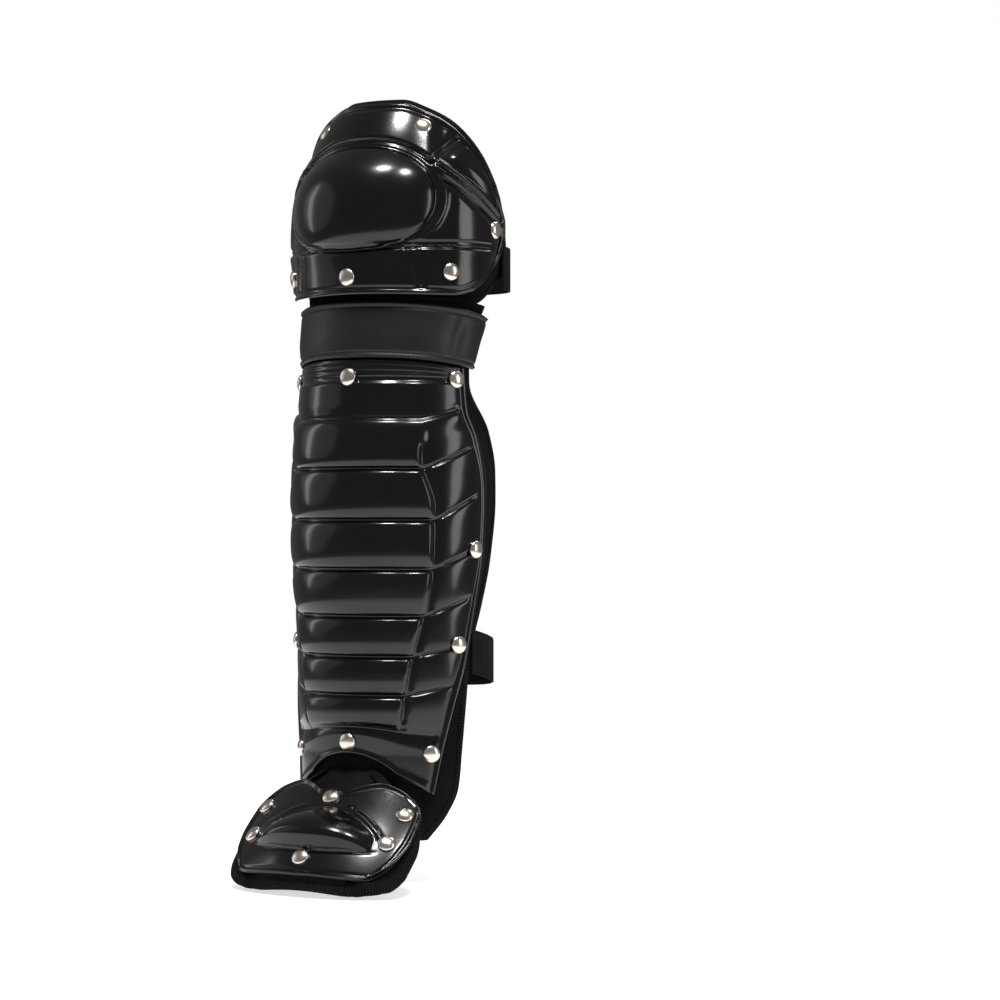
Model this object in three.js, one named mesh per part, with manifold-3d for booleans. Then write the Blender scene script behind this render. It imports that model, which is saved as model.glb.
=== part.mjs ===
// Catcher's leg guard: knee cap, middle band, ribbed shin shell and toe flap on a soft liner.
// Millimetres, +Z up. The guard's front faces -Y and its two halves mirror across X = 0.
// The origin is on the leg's axis, just below the lower rim of the toe flap.

import * as THREE from 'three';
import { mergeVertices } from 'three/addons/utils/BufferGeometryUtils.js';
import Module from 'manifold-3d';

const wasm = await Module();
wasm.setup();

// Heights, up the front of the guard
const shinFoot = 92;
const shinLength = 266.5;
const cornerDrop = 28;
const bandHeight = 38.5;
const bandDroop = 9;
const kneeSlot = 6.5;
const kneeLength = 131;
const seamGap = 1;

// Sections across the leg
const shinRadius = 73;
const shinWrap = 84;
const kneeRadius = 77;
const kneeWrap = 94.5;
const kneeLean = 16;
const kneeTuck = 5;
const kneeSet = 6;
const bandRadius = 66.5;
const bandWrap = 89;

// Walls and clearances
const shellWall = 2.6;
const linerWall = 8;
const bandWall = 4;
const fit = 0.3;
const kneeFit = 0.9;
const shinFit = 0.6;
const bandFit = 0.8;

// Relief of the shells
const ribRise = 4.6;
const grooveDepth = 0.9;
const domeRise = 9;
const strutRise = 2.2;
const toeDomeRise = 11;

// Liner reach past the shells, in degrees round the leg and millimetres along it
const shinLinerWrap = 104;
const kneeLinerWrap = 108;
const linerRim = 5;
const ankleReach = 58;

// Toe flap, measured along its slope from the hinge under the shin shell
const toeLength = 101;
const toeHalfWidth = 72;
const toeCurve = 131;
const toePadWall = 8;
const toeHingeDrop = 10;
const toePlateTop = 23;
const toePlateLength = 73;
const toePlateHalf = 66.5;

// Rivets
const headRadius = 6;
const headRise = 2.6;
const shankRadius = 2.2;
const shankDepth = 4;
const headClear = 0.7;

// Straps and their clips
const strapWidth = 30;
const strapWall = 1.6;
const calfBack = 48;
const kneeBack = 60;
const strapFall = 14;
const strapTuck = 2.5;
const clipLength = 24;
const clipRim = 4;
const clipWall = 2;

const rad = THREE.MathUtils.degToRad;
const lerp = THREE.MathUtils.lerp;
const clamp = THREE.MathUtils.clamp;
const smooth = (a, b, x) => THREE.MathUtils.smoothstep(x, a, b);

// Smooth curve through a table of [position, value] rows
function along(table, x) {
  const n = table.length;
  if (x <= table[0][0]) return table[0][1];
  if (x >= table[n - 1][0]) return table[n - 1][1];
  let i = 0;
  while (x > table[i + 1][0]) i++;
  const step = (j) => (table[j + 1][1] - table[j][1]) / (table[j + 1][0] - table[j][0]);
  const slope = (j) => {
    if (j === 0) return step(0);
    if (j === n - 1) return step(n - 2);
    const a = step(j - 1);
    const b = step(j);
    return a * b <= 0 ? 0 : (2 * a * b) / (a + b);
  };
  const w = table[i + 1][0] - table[i][0];
  const t = (x - table[i][0]) / w;
  const m0 = slope(i) * w;
  const m1 = slope(i + 1) * w;
  const p0 = table[i][1];
  const p1 = table[i + 1][1];
  return (2 * t ** 3 - 3 * t ** 2 + 1) * p0 + (t ** 3 - 2 * t ** 2 + t) * m0
    + (-2 * t ** 3 + 3 * t ** 2) * p1 + (t ** 3 - t ** 2) * m1;
}

// A closed sheet between an outer and an inner surface over the same grid of columns and rows
function sheet(us, vs, outer, inner, rowsRunDown = false) {
  const positions = [];
  const index = [];
  const nu = us.length;
  const nv = vs.length;
  for (const surface of [outer, inner]) {
    for (const v of vs) for (const u of us) positions.push(...surface(u, v).toArray());
  }
  const id = (side, i, j) => side * nu * nv + j * nu + i;
  const quad = (a, b, c, d) => {
    if (rowsRunDown) index.push(a, c, b, a, d, c);
    else index.push(a, b, c, a, c, d);
  };
  for (let j = 0; j < nv - 1; j++) {
    for (let i = 0; i < nu - 1; i++) {
      quad(id(0, i, j), id(0, i + 1, j), id(0, i + 1, j + 1), id(0, i, j + 1));
      quad(id(1, i, j), id(1, i, j + 1), id(1, i + 1, j + 1), id(1, i + 1, j));
    }
  }
  for (let i = 0; i < nu - 1; i++) {
    quad(id(1, i, 0), id(1, i + 1, 0), id(0, i + 1, 0), id(0, i, 0));
    quad(id(0, i, nv - 1), id(0, i + 1, nv - 1), id(1, i + 1, nv - 1), id(1, i, nv - 1));
  }
  for (let j = 0; j < nv - 1; j++) {
    quad(id(0, 0, j), id(0, 0, j + 1), id(1, 0, j + 1), id(1, 0, j));
    quad(id(1, nu - 1, j), id(1, nu - 1, j + 1), id(0, nu - 1, j + 1), id(0, nu - 1, j));
  }
  const geometry = new THREE.BufferGeometry();
  geometry.setAttribute('position', new THREE.Float32BufferAttribute(positions, 3));
  geometry.setIndex(index);
  return geometry;
}

function toSolid(source) {
  const bare = source.clone();
  bare.deleteAttribute('normal');
  bare.deleteAttribute('uv');
  const merged = mergeVertices(bare, 1e-4);
  return new wasm.Manifold(new wasm.Mesh({
    numProp: 3,
    vertProperties: new Float32Array(merged.attributes.position.array),
    triVerts: new Uint32Array(merged.index.array),
  }));
}

function toGeometry(solid) {
  const mesh = solid.getMesh();
  const geometry = new THREE.BufferGeometry();
  geometry.setAttribute('position', new THREE.BufferAttribute(mesh.vertProperties, 3));
  geometry.setIndex(new THREE.BufferAttribute(mesh.triVerts, 1));
  return geometry;
}

function drilled(geometry, cutters) {
  let solid = toSolid(geometry);
  for (const cutter of cutters) solid = solid.subtract(toSolid(cutter));
  return toGeometry(solid);
}

const even = (n) => Array.from({ length: n + 1 }, (_, i) => i / n);
const mirrored = (shares) => [...shares.slice(1).reverse().map((s) => -s), ...shares];

// A point at an angle round a section whose centre is set back along +Y
const round = (radius, set, angle, z) => new THREE.Vector3(
  radius * Math.sin(rad(angle)),
  set - radius * Math.cos(rad(angle)),
  z,
);

// Shin shell. Rows run down the front: share of the length, rise as a share of the rib height.
const shinTop = shinFoot + shinLength;
const shinRows = [
  [1, 0], [0.986, 0.19], [0.974, 0], [0.962, 0.19], [0.952, 0.05],
  [0.944, 0.3], [0.925, 0.5], [0.87, 0.5], [0.85, 0.2],
  [0.83, 0.7], [0.785, 1], [0.745, 0.72], [0.722, -0.15],
  [0.7, 0.72], [0.655, 1], [0.612, 0.72], [0.592, -0.15],
  [0.57, 0.72], [0.53, 1], [0.488, 0.72], [0.467, -0.15],
  [0.446, 0.72], [0.408, 1], [0.368, 0.72], [0.348, -0.15],
  [0.328, 0.72], [0.297, 1], [0.265, 0.72], [0.246, -0.15],
  [0.227, 0.72], [0.197, 1], [0.167, 0.72], [0.148, -0.15],
  [0.132, 0.68], [0.109, 0.9], [0.087, 0.68], [0.07, -0.15],
  [0.046, 0.3], [0.015, 0.3], [0, 0.15],
];
const shinSection = [[0, 0.915], [0.12, 0.935], [0.3, 0.95], [0.5, 0.99], [0.72, 1], [0.82, 0.97], [0.9, 0.93], [1, 0.905]];
const shinEdge = [
  [-0.11, 0.6], [0, 0.667], [0.12, 0.75], [0.25, 0.86], [0.4, 0.935], [0.52, 0.985],
  [0.66, 1], [0.8, 0.935], [0.87, 0.86], [1, 0.85],
];
const shinSeam = [[-0.1, 0.33], [0.08, 0.38], [0.25, 0.46], [0.36, 0.54], [0.46, 0.585], [0.62, 0.595], [0.75, 0.51], [1, 0.5]];
const shinSlant = [
  [0, -14], [0.05, -9], [0.09, 2], [0.15, 7], [0.25, 8], [0.35, 15], [0.45, 16],
  [0.6, 21], [0.72, 18], [0.85, 8], [0.94, 0], [1, 0],
];
const shinSplit = 0.6;

const shinRadiusAt = (z) => shinRadius * along(shinSection, (z - shinFoot) / shinLength);
const shinZ = (share) => shinFoot + share * shinLength;

// Height and angle of a point of the shin shell, from its column and its share of the length
function shinPlace(u, share) {
  const side = clamp((Math.abs(u) - shinSplit) / (1 - shinSplit), 0, 1);
  const middle = Math.min(Math.abs(u) / shinSplit, 1);
  const sag = cornerDrop * 0.5 * middle ** 2 * (1 - smooth(0, 0.1, share));
  const z = shinZ(share) + along(shinSlant, share) * side * (share < 0.08 ? cornerDrop / 28 : 1) - sag;
  const at = (z - shinFoot) / shinLength;
  const seam = shinWrap * along(shinSeam, at);
  const edge = shinWrap * along(shinEdge, at);
  const angle = Math.sign(u) * lerp(middle * seam, edge, side);
  const droop = 1.1 * bandDroop * Math.abs(angle / bandWrap) ** 2.4 * smooth(0.94, 1, share);
  return { z: z - droop, angle };
}

function shinRise(u, share) {
  const row = shinRows.findIndex(([s]) => Math.abs(s - share) < 1e-6);
  const side = clamp((Math.abs(u) - shinSplit) / (1 - shinSplit), 0, 1);
  const value = shinRows[row][1];
  const fade = side === 0 ? 1 : 0.55 * (1 - 0.6 * side);
  return ribRise * (value > 0 ? value * fade : value);
}

const shinColumns = mirrored([0, 0.15, 0.3, 0.44, 0.56, 0.6, 0.64, 0.76, 0.89, 1]);
const shinShares = shinRows.map(([s]) => s).reverse();
const shinSkin = (depth) => (u, share) => {
  const { z, angle } = shinPlace(u, share);
  const rise = shinRise(u, share);
  const lift = depth === 0 ? rise : Math.max(rise, 0) - depth;
  return round(shinRadiusAt(z) + lift, 0, angle, z);
};

// Knee cap: a leaning, rounded cup. Shares are of its length above its lower edge.
const bandFoot = shinTop + seamGap;
const bandTop = bandFoot + bandHeight;
const kneeFoot = bandTop + kneeSlot;
const kneeSection = [
  [-0.1, 0.95], [0.1, 0.965], [0.3, 1], [0.47, 0.99], [0.58, 0.965], [0.68, 0.92], [0.78, 0.865],
  [0.88, 0.805], [0.97, 0.745], [1.08, 0.68],
];
const kneeSetBack = [[-0.1, 0], [0.3, 0], [0.47, 0.05], [0.62, 0.2], [0.72, 0.42], [0.84, 0.6], [0.97, 0.86], [1.08, 1.1]];
const kneeTopEdge = [[0, 1], [0.22, 0.998], [0.42, 0.95], [0.6, 0.875], [0.73, 0.775], [0.86, 0.615], [0.95, 0.47], [1, 0.385]];
const kneeLowEdge = [[0, 0], [0.44, -0.004], [0.6, -0.006], [0.73, 0.015], [0.865, 0.1], [0.95, 0.2], [0.975, 0.265], [1, 0.33]];

const kneeShare = (z) => (z - kneeFoot) / kneeLength;
const kneeRadiusAt = (z) => kneeRadius * along(kneeSection, kneeShare(z));
const kneeSetAt = (z) => kneeSet + kneeLean * along(kneeSetBack, kneeShare(z));
const kneePoint = (angle, z, lift) => round(kneeRadiusAt(z) + lift, kneeSetAt(z), angle, z);

function kneePlace(u, v) {
  const reach = Math.abs(u);
  const low = kneeFoot + kneeLength * along(kneeLowEdge, reach);
  const high = kneeFoot + kneeLength * along(kneeTopEdge, reach);
  return { z: lerp(low, high, v), angle: kneeWrap * u };
}

// Relief of the knee cap: the middle dome, the struts to its side corners and the lower band
function kneeRise(angle, z) {
  const a = Math.abs(angle) / kneeWrap;
  const s = kneeShare(z);
  const away = Math.hypot(Math.abs(a / 0.5) ** 1.3, Math.abs((s - 0.485) / 0.272) ** 1.3);
  let rise = domeRise * Math.cos((Math.PI / 2) * clamp(away, 0, 1)) ** 0.8;
  if (away >= 1 || !(rise > 0)) rise = 0;
  if (away > 0.98) rise -= grooveDepth * (1 - smooth(1.02, 1.3, away));
  const t = clamp((a - 0.5) / 0.4, 0, 1);
  const line = lerp(0.67, 0.43, t);
  const off = Math.abs(s - line) / 0.065;
  if (a > 0.46 && a < 0.93 && off < 1) rise += strutRise * (1 - off ** 2) * smooth(0.46, 0.55, a) * (1 - smooth(0.86, 0.93, a));
  rise += 1.2 * (1 - smooth(0.15, 0.2, s)) * (1 - smooth(0.8, 0.9, a));
  return rise;
}

const kneeColumns = mirrored([0, 0.08, 0.16, 0.24, 0.32, 0.39, 0.45, 0.5, 0.54, 0.61, 0.69, 0.78, 0.87, 0.94, 1]);
const kneeRows = [0, 0.07, 0.14, 0.19, 0.24, 0.3, 0.37, 0.44, 0.51, 0.58, 0.65, 0.72, 0.78, 0.83, 0.9, 1];
const kneeSkin = (depth) => (u, v) => {
  const { z, angle } = kneePlace(u, v);
  const rise = kneeRise(angle, z);
  return kneePoint(angle, z, depth === 0 ? rise : Math.max(rise, 0) - depth);
};

// Liners: a pad behind each shell, reaching past its edges
const linerOut = shellWall + shinFit;
const shinLinerTop = bandTop - seamGap;
const shinLinerFoot = shinFoot - ankleReach;
const shinLinerLength = shinLinerTop - shinLinerFoot;
const shinLinerEdge = [
  [0, 0.46], [0.045, 0.59], [0.09, 0.67], [0.13, 0.69], [0.25, 0.72], [0.34, 0.75], [0.43, 0.84],
  [0.54, 0.94], [0.63, 1], [0.69, 0.99], [0.76, 0.93], [0.85, 0.76], [0.93, 0.79], [1, 0.87],
];
const kneeNeck = kneeRadius * along(kneeSection, 0) - kneeTuck;
const bodyRadiusAt = (z) => lerp(shinRadiusAt(z), kneeNeck, smooth(shinTop + bandHeight / 2, kneeFoot, z));
const bodySetAt = (z) => kneeSet * smooth(shinTop, kneeFoot, z);

const shinLinerSkin = (depth) => (u, v) => {
  const z = shinLinerFoot + v * shinLinerLength;
  const angle = shinLinerWrap * along(shinLinerEdge, v) * u;
  return round(bodyRadiusAt(z) - linerOut - depth, bodySetAt(z), angle, z);
};

const kneeLinerTop = [[0, 1.03], [0.2, 1.03], [0.38, 0.985], [0.55, 0.92], [0.7, 0.81], [0.84, 0.63], [0.94, 0.44], [1, 0.27]];
const kneeLinerLow = [[0, -0.0545], [0.7, -0.0545], [0.8, -0.027], [0.9, 0.045], [1, 0.118]];
const kneeLinerSkin = (depth) => (u, v) => {
  const reach = Math.abs(u);
  const low = kneeFoot + kneeLength * along(kneeLinerLow, reach);
  const high = kneeFoot + kneeLength * along(kneeLinerTop, reach) - linerRim * 0.2;
  const z = lerp(low, high, v);
  const set = z < kneeFoot ? kneeSet : kneeSetAt(z);
  const tuck = kneeTuck * (1 - smooth(-0.03, 0.14, kneeShare(z)));
  return round(kneeRadiusAt(z) - shellWall - kneeFit - tuck - depth, set, kneeLinerWrap * u, z);
};

// Middle band, over the joint of the two liners
const bandEnds = [[0, 0.9], [1, 1]];
const bandSkin = (depth) => (u, v) => {
  const drop = bandDroop * Math.abs(u) ** 2.4;
  const z = bandFoot + v * bandHeight - drop * lerp(0.8, 1, v);
  const angle = bandWrap * along(bandEnds, v) * u;
  const crown = depth === 0 ? 1.4 * Math.sin(Math.PI * v) ** 0.6 : 0;
  const under = bodyRadiusAt(z + drop) - linerOut + bandFit;
  return round(depth === 0 ? Math.max(bandRadius, under + bandWall) + crown : under, bodySetAt(z), angle, z);
};

// Toe flap: a sloping profile swept across a wide arc. Rows are [share of length, slope in degrees].
const toeSlope = [[0, 40], [0.18, 38], [0.29, 38], [0.53, 42], [0.76, 48], [1, 54]];
const toeWidth = [
  [0, 0.28], [0.07, 0.4], [0.13, 0.53], [0.19, 0.66], [0.26, 0.78], [0.35, 0.9], [0.44, 0.96],
  [0.57, 1], [0.75, 0.99], [0.86, 0.93], [0.95, 0.8], [1, 0.62],
];
const hingeY = -(shinRadiusAt(shinFoot) - linerOut + fit);
const hingeZ = shinFoot - toeHingeDrop;

function toeSpine(t) {
  const steps = 24;
  let y = hingeY;
  let z = hingeZ;
  for (let i = 0; i < steps; i++) {
    const slope = rad(along(toeSlope, ((i + 0.5) / steps) * (t / toeLength)));
    y -= (Math.cos(slope) * t) / steps;
    z -= (Math.sin(slope) * t) / steps;
  }
  return { y, z, slope: rad(along(toeSlope, t / toeLength)) };
}

function toePoint(w, t, lift) {
  const { y, z, slope } = toeSpine(t);
  const reach = toeCurve + lift;
  const back = reach * Math.cos(w / toeCurve) - toeCurve;
  return new THREE.Vector3(
    reach * Math.sin(w / toeCurve),
    y - Math.sin(slope) * back,
    z + Math.cos(slope) * back,
  );
}

// The pad's upper end is trimmed to the liner behind it
function toeStart(w, lift) {
  const clear = -hingeY;
  let low = -40;
  let high = toeLength * 0.5;
  for (let i = 0; i < 30; i++) {
    const mid = (low + high) / 2;
    const p = toePoint(w, mid, lift);
    if (Math.hypot(p.x, p.y) < clear || p.y > 0) low = mid;
    else high = mid;
  }
  return high;
}

const toePadSkin = (depth) => (u, v) => {
  const w0 = toeHalfWidth * toeWidth[0][1] * u;
  const sink = depth === 0 ? 1.2 * Math.abs(u) ** 6 + 1.5 * smooth(0.9, 1, v) : 0;
  const start = toeStart(w0, -depth - sink);
  const t = lerp(start, toeLength, v);
  const w = toeHalfWidth * along(toeWidth, v) * u;
  return toePoint(w, t, -depth - sink);
};

// Toe plate: outline as shares of its own length and half width
const toePlateHead = [[0, 0], [0.15, 0.012], [0.32, -0.07], [0.56, -0.15], [0.8, -0.12], [1, -0.03]];
const toePlateFoot = [[0, 1], [0.5, 0.985], [1, 0.93]];
const toePlateSide = [[0, 0.84], [0.07, 0.93], [0.18, 0.985], [0.45, 1], [0.68, 0.96], [0.85, 0.88], [1, 0.76]];

function toePlatePlace(u, v) {
  const reach = Math.abs(u);
  const head = toePlateTop + toePlateLength * along(toePlateHead, reach);
  const foot = toePlateTop + toePlateLength * along(toePlateFoot, reach);
  return { w: toePlateHalf * along(toePlateSide, v) * u, t: lerp(head, foot, v) };
}

function toeRise(w, t) {
  const a = Math.abs(w) / (toePlateHalf * 0.66);
  const s = (t - toePlateTop) / toePlateLength;
  const crease = 0.73 - 0.13 * a ** 2;
  const brow = 0.22 + 0.2 * a ** 2;
  const k = (s - brow) / (crease - brow);
  if (a >= 1 || k <= 0 || k >= 1) return 0;
  const body = k < 0.75 ? Math.sin((Math.PI / 2) * (k / 0.75)) : Math.cos((Math.PI / 2) * ((k - 0.75) / 0.25)) ** 0.7;
  return toeDomeRise * body * (1 - a ** 2.4);
}

const toeColumns = mirrored([0, 0.1, 0.2, 0.32, 0.44, 0.54, 0.63, 0.72, 0.86, 1]);
const toeRows = [0, 0.1, 0.2, 0.3, 0.4, 0.49, 0.57, 0.64, 0.69, 0.74, 0.85, 1];
const toePlateSkin = (depth) => (u, v) => {
  const { w, t } = toePlatePlace(u, v);
  const rise = toeRise(w, t);
  return toePoint(w, t, fit + shellWall + rise - depth);
};

// Rivets stand on their seat along its normal
function seatOf(surface, a, b) {
  const at = surface(a, b);
  const da = surface(a + 1, b).sub(surface(a - 1, b));
  const db = surface(a, b + 1).sub(surface(a, b - 1));
  const normal = da.cross(db).normalize();
  if (normal.y > 0.3 || normal.z < -0.3) normal.negate();
  return { at, normal };
}

const onShin = (angle, z) => round(shinRadiusAt(z), 0, angle, z);

// Height of the shin's relief at an angle and height, between its rows
function shinLift(angle, z) {
  const at = (z - shinFoot) / shinLength;
  const seam = shinWrap * along(shinSeam, at);
  const edge = shinWrap * along(shinEdge, at);
  const side = clamp((Math.abs(angle) - seam) / (edge - seam), 0, 1);
  const middle = Math.min(Math.abs(angle) / seam, 1);
  let share = at;
  for (let i = 0; i < 8; i++) {
    const sag = cornerDrop * 0.5 * middle ** 2 * (1 - smooth(0, 0.1, share));
    share = clamp(at - (along(shinSlant, share) * side - sag) / shinLength, 0, 1);
  }
  const i = shinRows.findIndex(([s]) => s <= share);
  const [s1, v1] = shinRows[Math.max(i - 1, 0)];
  const [s0, v0] = shinRows[i];
  const value = i === 0 ? v0 : lerp(v0, v1, (share - s0) / (s1 - s0));
  return ribRise * Math.max(value, 0) * (side === 0 ? 1 : 0.55 * (1 - 0.6 * side));
}

const onKnee = (angle, z) => kneePoint(angle, z, kneeRise(angle, z));
const onToe = (w, t) => toePoint(w, t, fit + shellWall);

const rivets = [
  ['knee', onKnee, 0, kneeFoot + 0.0725 * kneeLength],
  ['knee', onKnee, 0.585 * kneeWrap, kneeFoot + 0.1 * kneeLength],
  ['knee', onKnee, 0.895 * kneeWrap, kneeFoot + 0.334 * kneeLength],
  ['knee', onKnee, 0.4 * kneeWrap, kneeFoot + 0.866 * kneeLength],
  ['shin', onShin, 0, shinZ(0.955)],
  ['shin', onShin, 0.775 * shinWrap, shinZ(0.95)],
  ['shin', onShin, 0.895 * shinWrap, shinZ(0.517)],
  ['shin', onShin, 0.775 * shinWrap, shinZ(0.275)],
  ['shin', onShin, 0, shinZ(0.03)],
  ['shin', onShin, 0.585 * shinWrap, shinZ(0)],
  ['toe', onToe, 0, toePlateTop + 0.11 * toePlateLength],
  ['toe', onToe, 0.81 * toePlateHalf, toePlateTop + 0.137 * toePlateLength],
  ['toe', onToe, 0.78 * toePlateHalf, toePlateTop + 0.507 * toePlateLength],
  ['toe', onToe, 0, toePlateTop + 0.82 * toePlateLength],
];

const headProfile = [
  [0, -shankDepth - shellWall], [shankRadius, -shankDepth - shellWall], [shankRadius, 0],
  [headRadius * 0.94, 0], [headRadius, headRise * 0.3], [headRadius * 0.72, headRise * 0.8],
  [0, headRise],
];

function posed(profile, segments, seat, lift) {
  const geometry = new THREE.LatheGeometry(profile.map(([x, y]) => new THREE.Vector2(x, y)), segments);
  const turn = new THREE.Quaternion().setFromUnitVectors(new THREE.Vector3(0, 1, 0), seat.normal);
  const origin = seat.at.clone().addScaledVector(seat.normal, lift);
  return geometry.applyMatrix4(new THREE.Matrix4().compose(origin, turn, new THREE.Vector3(1, 1, 1)));
}

const boreDepth = shankDepth + shellWall + fit;
const boreProfile = [
  [0, -boreDepth], [shankRadius + fit, -boreDepth], [shankRadius + fit, 12], [0, 12],
];

const placed = [];
for (const [group, surface, a, b] of rivets) {
  for (const side of a === 0 ? [1] : [1, -1]) {
    const seat = seatOf(surface, a * side, b);
    if (group === 'shin') {
      const reach = headRadius / shinRadius * (180 / Math.PI);
      const near = [[0, 0], [reach, 0], [-reach, 0], [0, headRadius], [0, -headRadius]];
      const lift = Math.max(...near.map(([da, dz]) => shinLift(a + da, b + dz)));
      seat.at.addScaledVector(seat.normal, lift);
    }
    placed.push({ group, seat, bore: posed(boreProfile, 8, seat, fit) });
  }
}
const bores = (group) => placed.filter((p) => p.group === group).map((p) => p.bore);

// Straps: a flat web that leaves the liner's sides and closes behind the leg
function strapPath(start, out, set, back) {
  const points = [];
  const n = 13;
  const flat = clipLength * 0.5 + 2;
  for (let i = 0; i < n; i++) {
    const t = i / (n - 1);
    const angle = rad(lerp(start, 180, t));
    const bend = smooth(0.2, 0.75, t);
    const x = out * Math.sin(angle) * lerp(1, 0.88, bend);
    const y = set - out * Math.cos(angle);
    points.push([Math.max(x, 0), y > 0 ? lerp(y, (y * back) / (set + out), bend) : y]);
  }
  const kept = points.filter(([x]) => x > flat + 3);
  const right = [...kept, [flat, back], [0, back]];
  return [...right, ...right.slice(0, -1).reverse().map(([x, y]) => [-x, y])];
}

function strapSolid(path, z, slope, end) {
  const offset = path.map((p, i) => {
    const a = path[Math.max(i - 1, 0)];
    const b = path[Math.min(i + 1, path.length - 1)];
    const length = Math.hypot(b[0] - a[0], b[1] - a[1]);
    return [(b[1] - a[1]) / length, -(b[0] - a[0]) / length];
  });
  const front = path[0][1];
  const at = (i, depth, v) => {
    const [x, y] = path[i];
    const back = (y - front) / (end - front);
    return new THREE.Vector3(
      x + offset[i][0] * depth,
      y + offset[i][1] * depth,
      z - slope * back + (v - 0.5) * strapWidth,
    );
  };
  const us = path.map((_, i) => i);
  return sheet(us, [0, 1], (i, v) => at(i, 0, v), (i, v) => at(i, -strapWall, v));
}

function clipSolid(z, back) {
  const outline = new THREE.Shape();
  const high = strapWidth / 2 + clipRim;
  const deep = strapWall / 2 + fit + clipWall;
  outline.moveTo(-high, -deep);
  outline.lineTo(high, -deep);
  outline.lineTo(high, deep);
  outline.lineTo(-high, deep);
  outline.closePath();
  const slot = new THREE.Path();
  const slotHigh = strapWidth / 2 + fit;
  const slotDeep = strapWall / 2 + fit;
  slot.moveTo(-slotHigh, -slotDeep);
  slot.lineTo(-slotHigh, slotDeep);
  slot.lineTo(slotHigh, slotDeep);
  slot.lineTo(slotHigh, -slotDeep);
  slot.closePath();
  outline.holes.push(slot);
  const geometry = new THREE.ExtrudeGeometry(outline, { depth: clipLength, bevelEnabled: false });
  geometry.translate(0, 0, -clipLength / 2);
  geometry.rotateY(-Math.PI / 2);
  geometry.translate(0, back - strapWall / 2, z);
  return geometry;
}

const black = (roughness) => new THREE.MeshStandardMaterial({ color: 0x0c0c0d, roughness, metalness: 0 });
const shellBlack = black(0.22);
const vinylBlack = black(0.6);
const clothBlack = black(0.92);
const webBlack = black(0.85);
const clipBlack = black(0.4);
const nickel = new THREE.MeshStandardMaterial({ color: 0xc9c6c1, roughness: 0.25, metalness: 1 });

const guard = new THREE.Group();
function add(name, geometry, material) {
  geometry.computeVertexNormals();
  const mesh = new THREE.Mesh(geometry, material);
  mesh.name = name;
  guard.add(mesh);
}

add('knee_shell', drilled(sheet(kneeColumns, kneeRows, kneeSkin(0), kneeSkin(shellWall)), bores('knee')), shellBlack);
add('shin_shell', drilled(sheet(shinColumns, shinShares, shinSkin(0), shinSkin(shellWall)), bores('shin')), shellBlack);
add('toe_shell', drilled(sheet(toeColumns, toeRows, toePlateSkin(0), toePlateSkin(shellWall), true), bores('toe')), shellBlack);

const kneeLinerGrid = sheet(mirrored(even(9)), [0, 0.2, 0.4, 0.55, 0.68, 0.8, 0.9, 1], kneeLinerSkin(0), kneeLinerSkin(linerWall));
const shinLinerGrid = sheet(mirrored(even(8)), even(18), shinLinerSkin(0), shinLinerSkin(linerWall));
const toePadGrid = sheet(mirrored(even(8)), even(9), toePadSkin(0), toePadSkin(toePadWall), true);
add('knee_liner', drilled(kneeLinerGrid, bores('knee')), clothBlack);
add('shin_liner', drilled(shinLinerGrid, bores('shin')), clothBlack);
add('toe_pad', drilled(toePadGrid, bores('toe')), clothBlack);
add('middle_band', sheet(mirrored(even(9)), [0, 0.12, 0.5, 0.88, 1], bandSkin(0), bandSkin(1)), vinylBlack);

const calfZ = shinZ(0.256);
const calfTop = (calfZ + strapWidth / 2 - shinFoot) / shinLength;
const straps = [
  ['calf', calfZ, shinWrap * along(shinEdge, calfTop), strapFall, 0, calfBack, bodyRadiusAt],
  ['knee', kneeFoot + 0.15 * kneeLength, kneeWrap, 0, kneeSet, kneeBack, kneeRadiusAt],
];
for (const [name, z, edge, fall, set, back, radiusAt] of straps) {
  const start = edge + strapTuck;
  const out = radiusAt(z + strapWidth / 2) - shellWall + strapWall;
  add(`${name}_strap`, strapSolid(strapPath(start, out, set, back), z, fall, back), webBlack);
  add(`${name}_clip`, clipSolid(z - fall, back), clipBlack);
}

const counts = {};
for (const { group, seat } of placed) {
  counts[group] = (counts[group] || 0) + 1;
  add(`${group}_rivet_${counts[group]}`, posed(headProfile, 8, seat, headClear), nickel);
}

guard.updateMatrixWorld(true);

export default guard;
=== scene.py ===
"""Catcher's leg guard: glossy moulded shells riveted to a soft liner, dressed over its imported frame.

Lengths in the tables are shares of the named sizes, which are millimetres, and every mesh is in metres.
"""

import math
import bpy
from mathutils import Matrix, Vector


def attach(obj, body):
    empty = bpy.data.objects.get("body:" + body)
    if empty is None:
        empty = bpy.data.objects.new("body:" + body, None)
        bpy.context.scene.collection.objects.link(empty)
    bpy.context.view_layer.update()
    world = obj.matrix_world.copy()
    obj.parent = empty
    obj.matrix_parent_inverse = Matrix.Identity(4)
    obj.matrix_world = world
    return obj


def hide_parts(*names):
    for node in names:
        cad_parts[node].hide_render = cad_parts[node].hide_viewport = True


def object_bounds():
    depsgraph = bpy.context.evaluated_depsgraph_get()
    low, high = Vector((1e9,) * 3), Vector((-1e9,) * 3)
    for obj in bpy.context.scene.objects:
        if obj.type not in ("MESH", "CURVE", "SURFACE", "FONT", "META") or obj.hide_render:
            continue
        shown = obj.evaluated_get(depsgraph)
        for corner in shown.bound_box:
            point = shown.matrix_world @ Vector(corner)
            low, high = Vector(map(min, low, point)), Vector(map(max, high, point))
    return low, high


bl_info = {
    "name": "Catcher's Leg Guard",
    "version": (1, 0, 0),
    "blender": (4, 5, 0),
    "location": "3D View > Sidebar > Leg Guard",
    "description": "Builds a catcher's leg guard piece by piece, with its studio",
    "category": "Add Mesh",
}

import bmesh
import bpy
from bpy.props import FloatProperty, FloatVectorProperty, IntProperty, PointerProperty
from mathutils import Matrix, Vector

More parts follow.
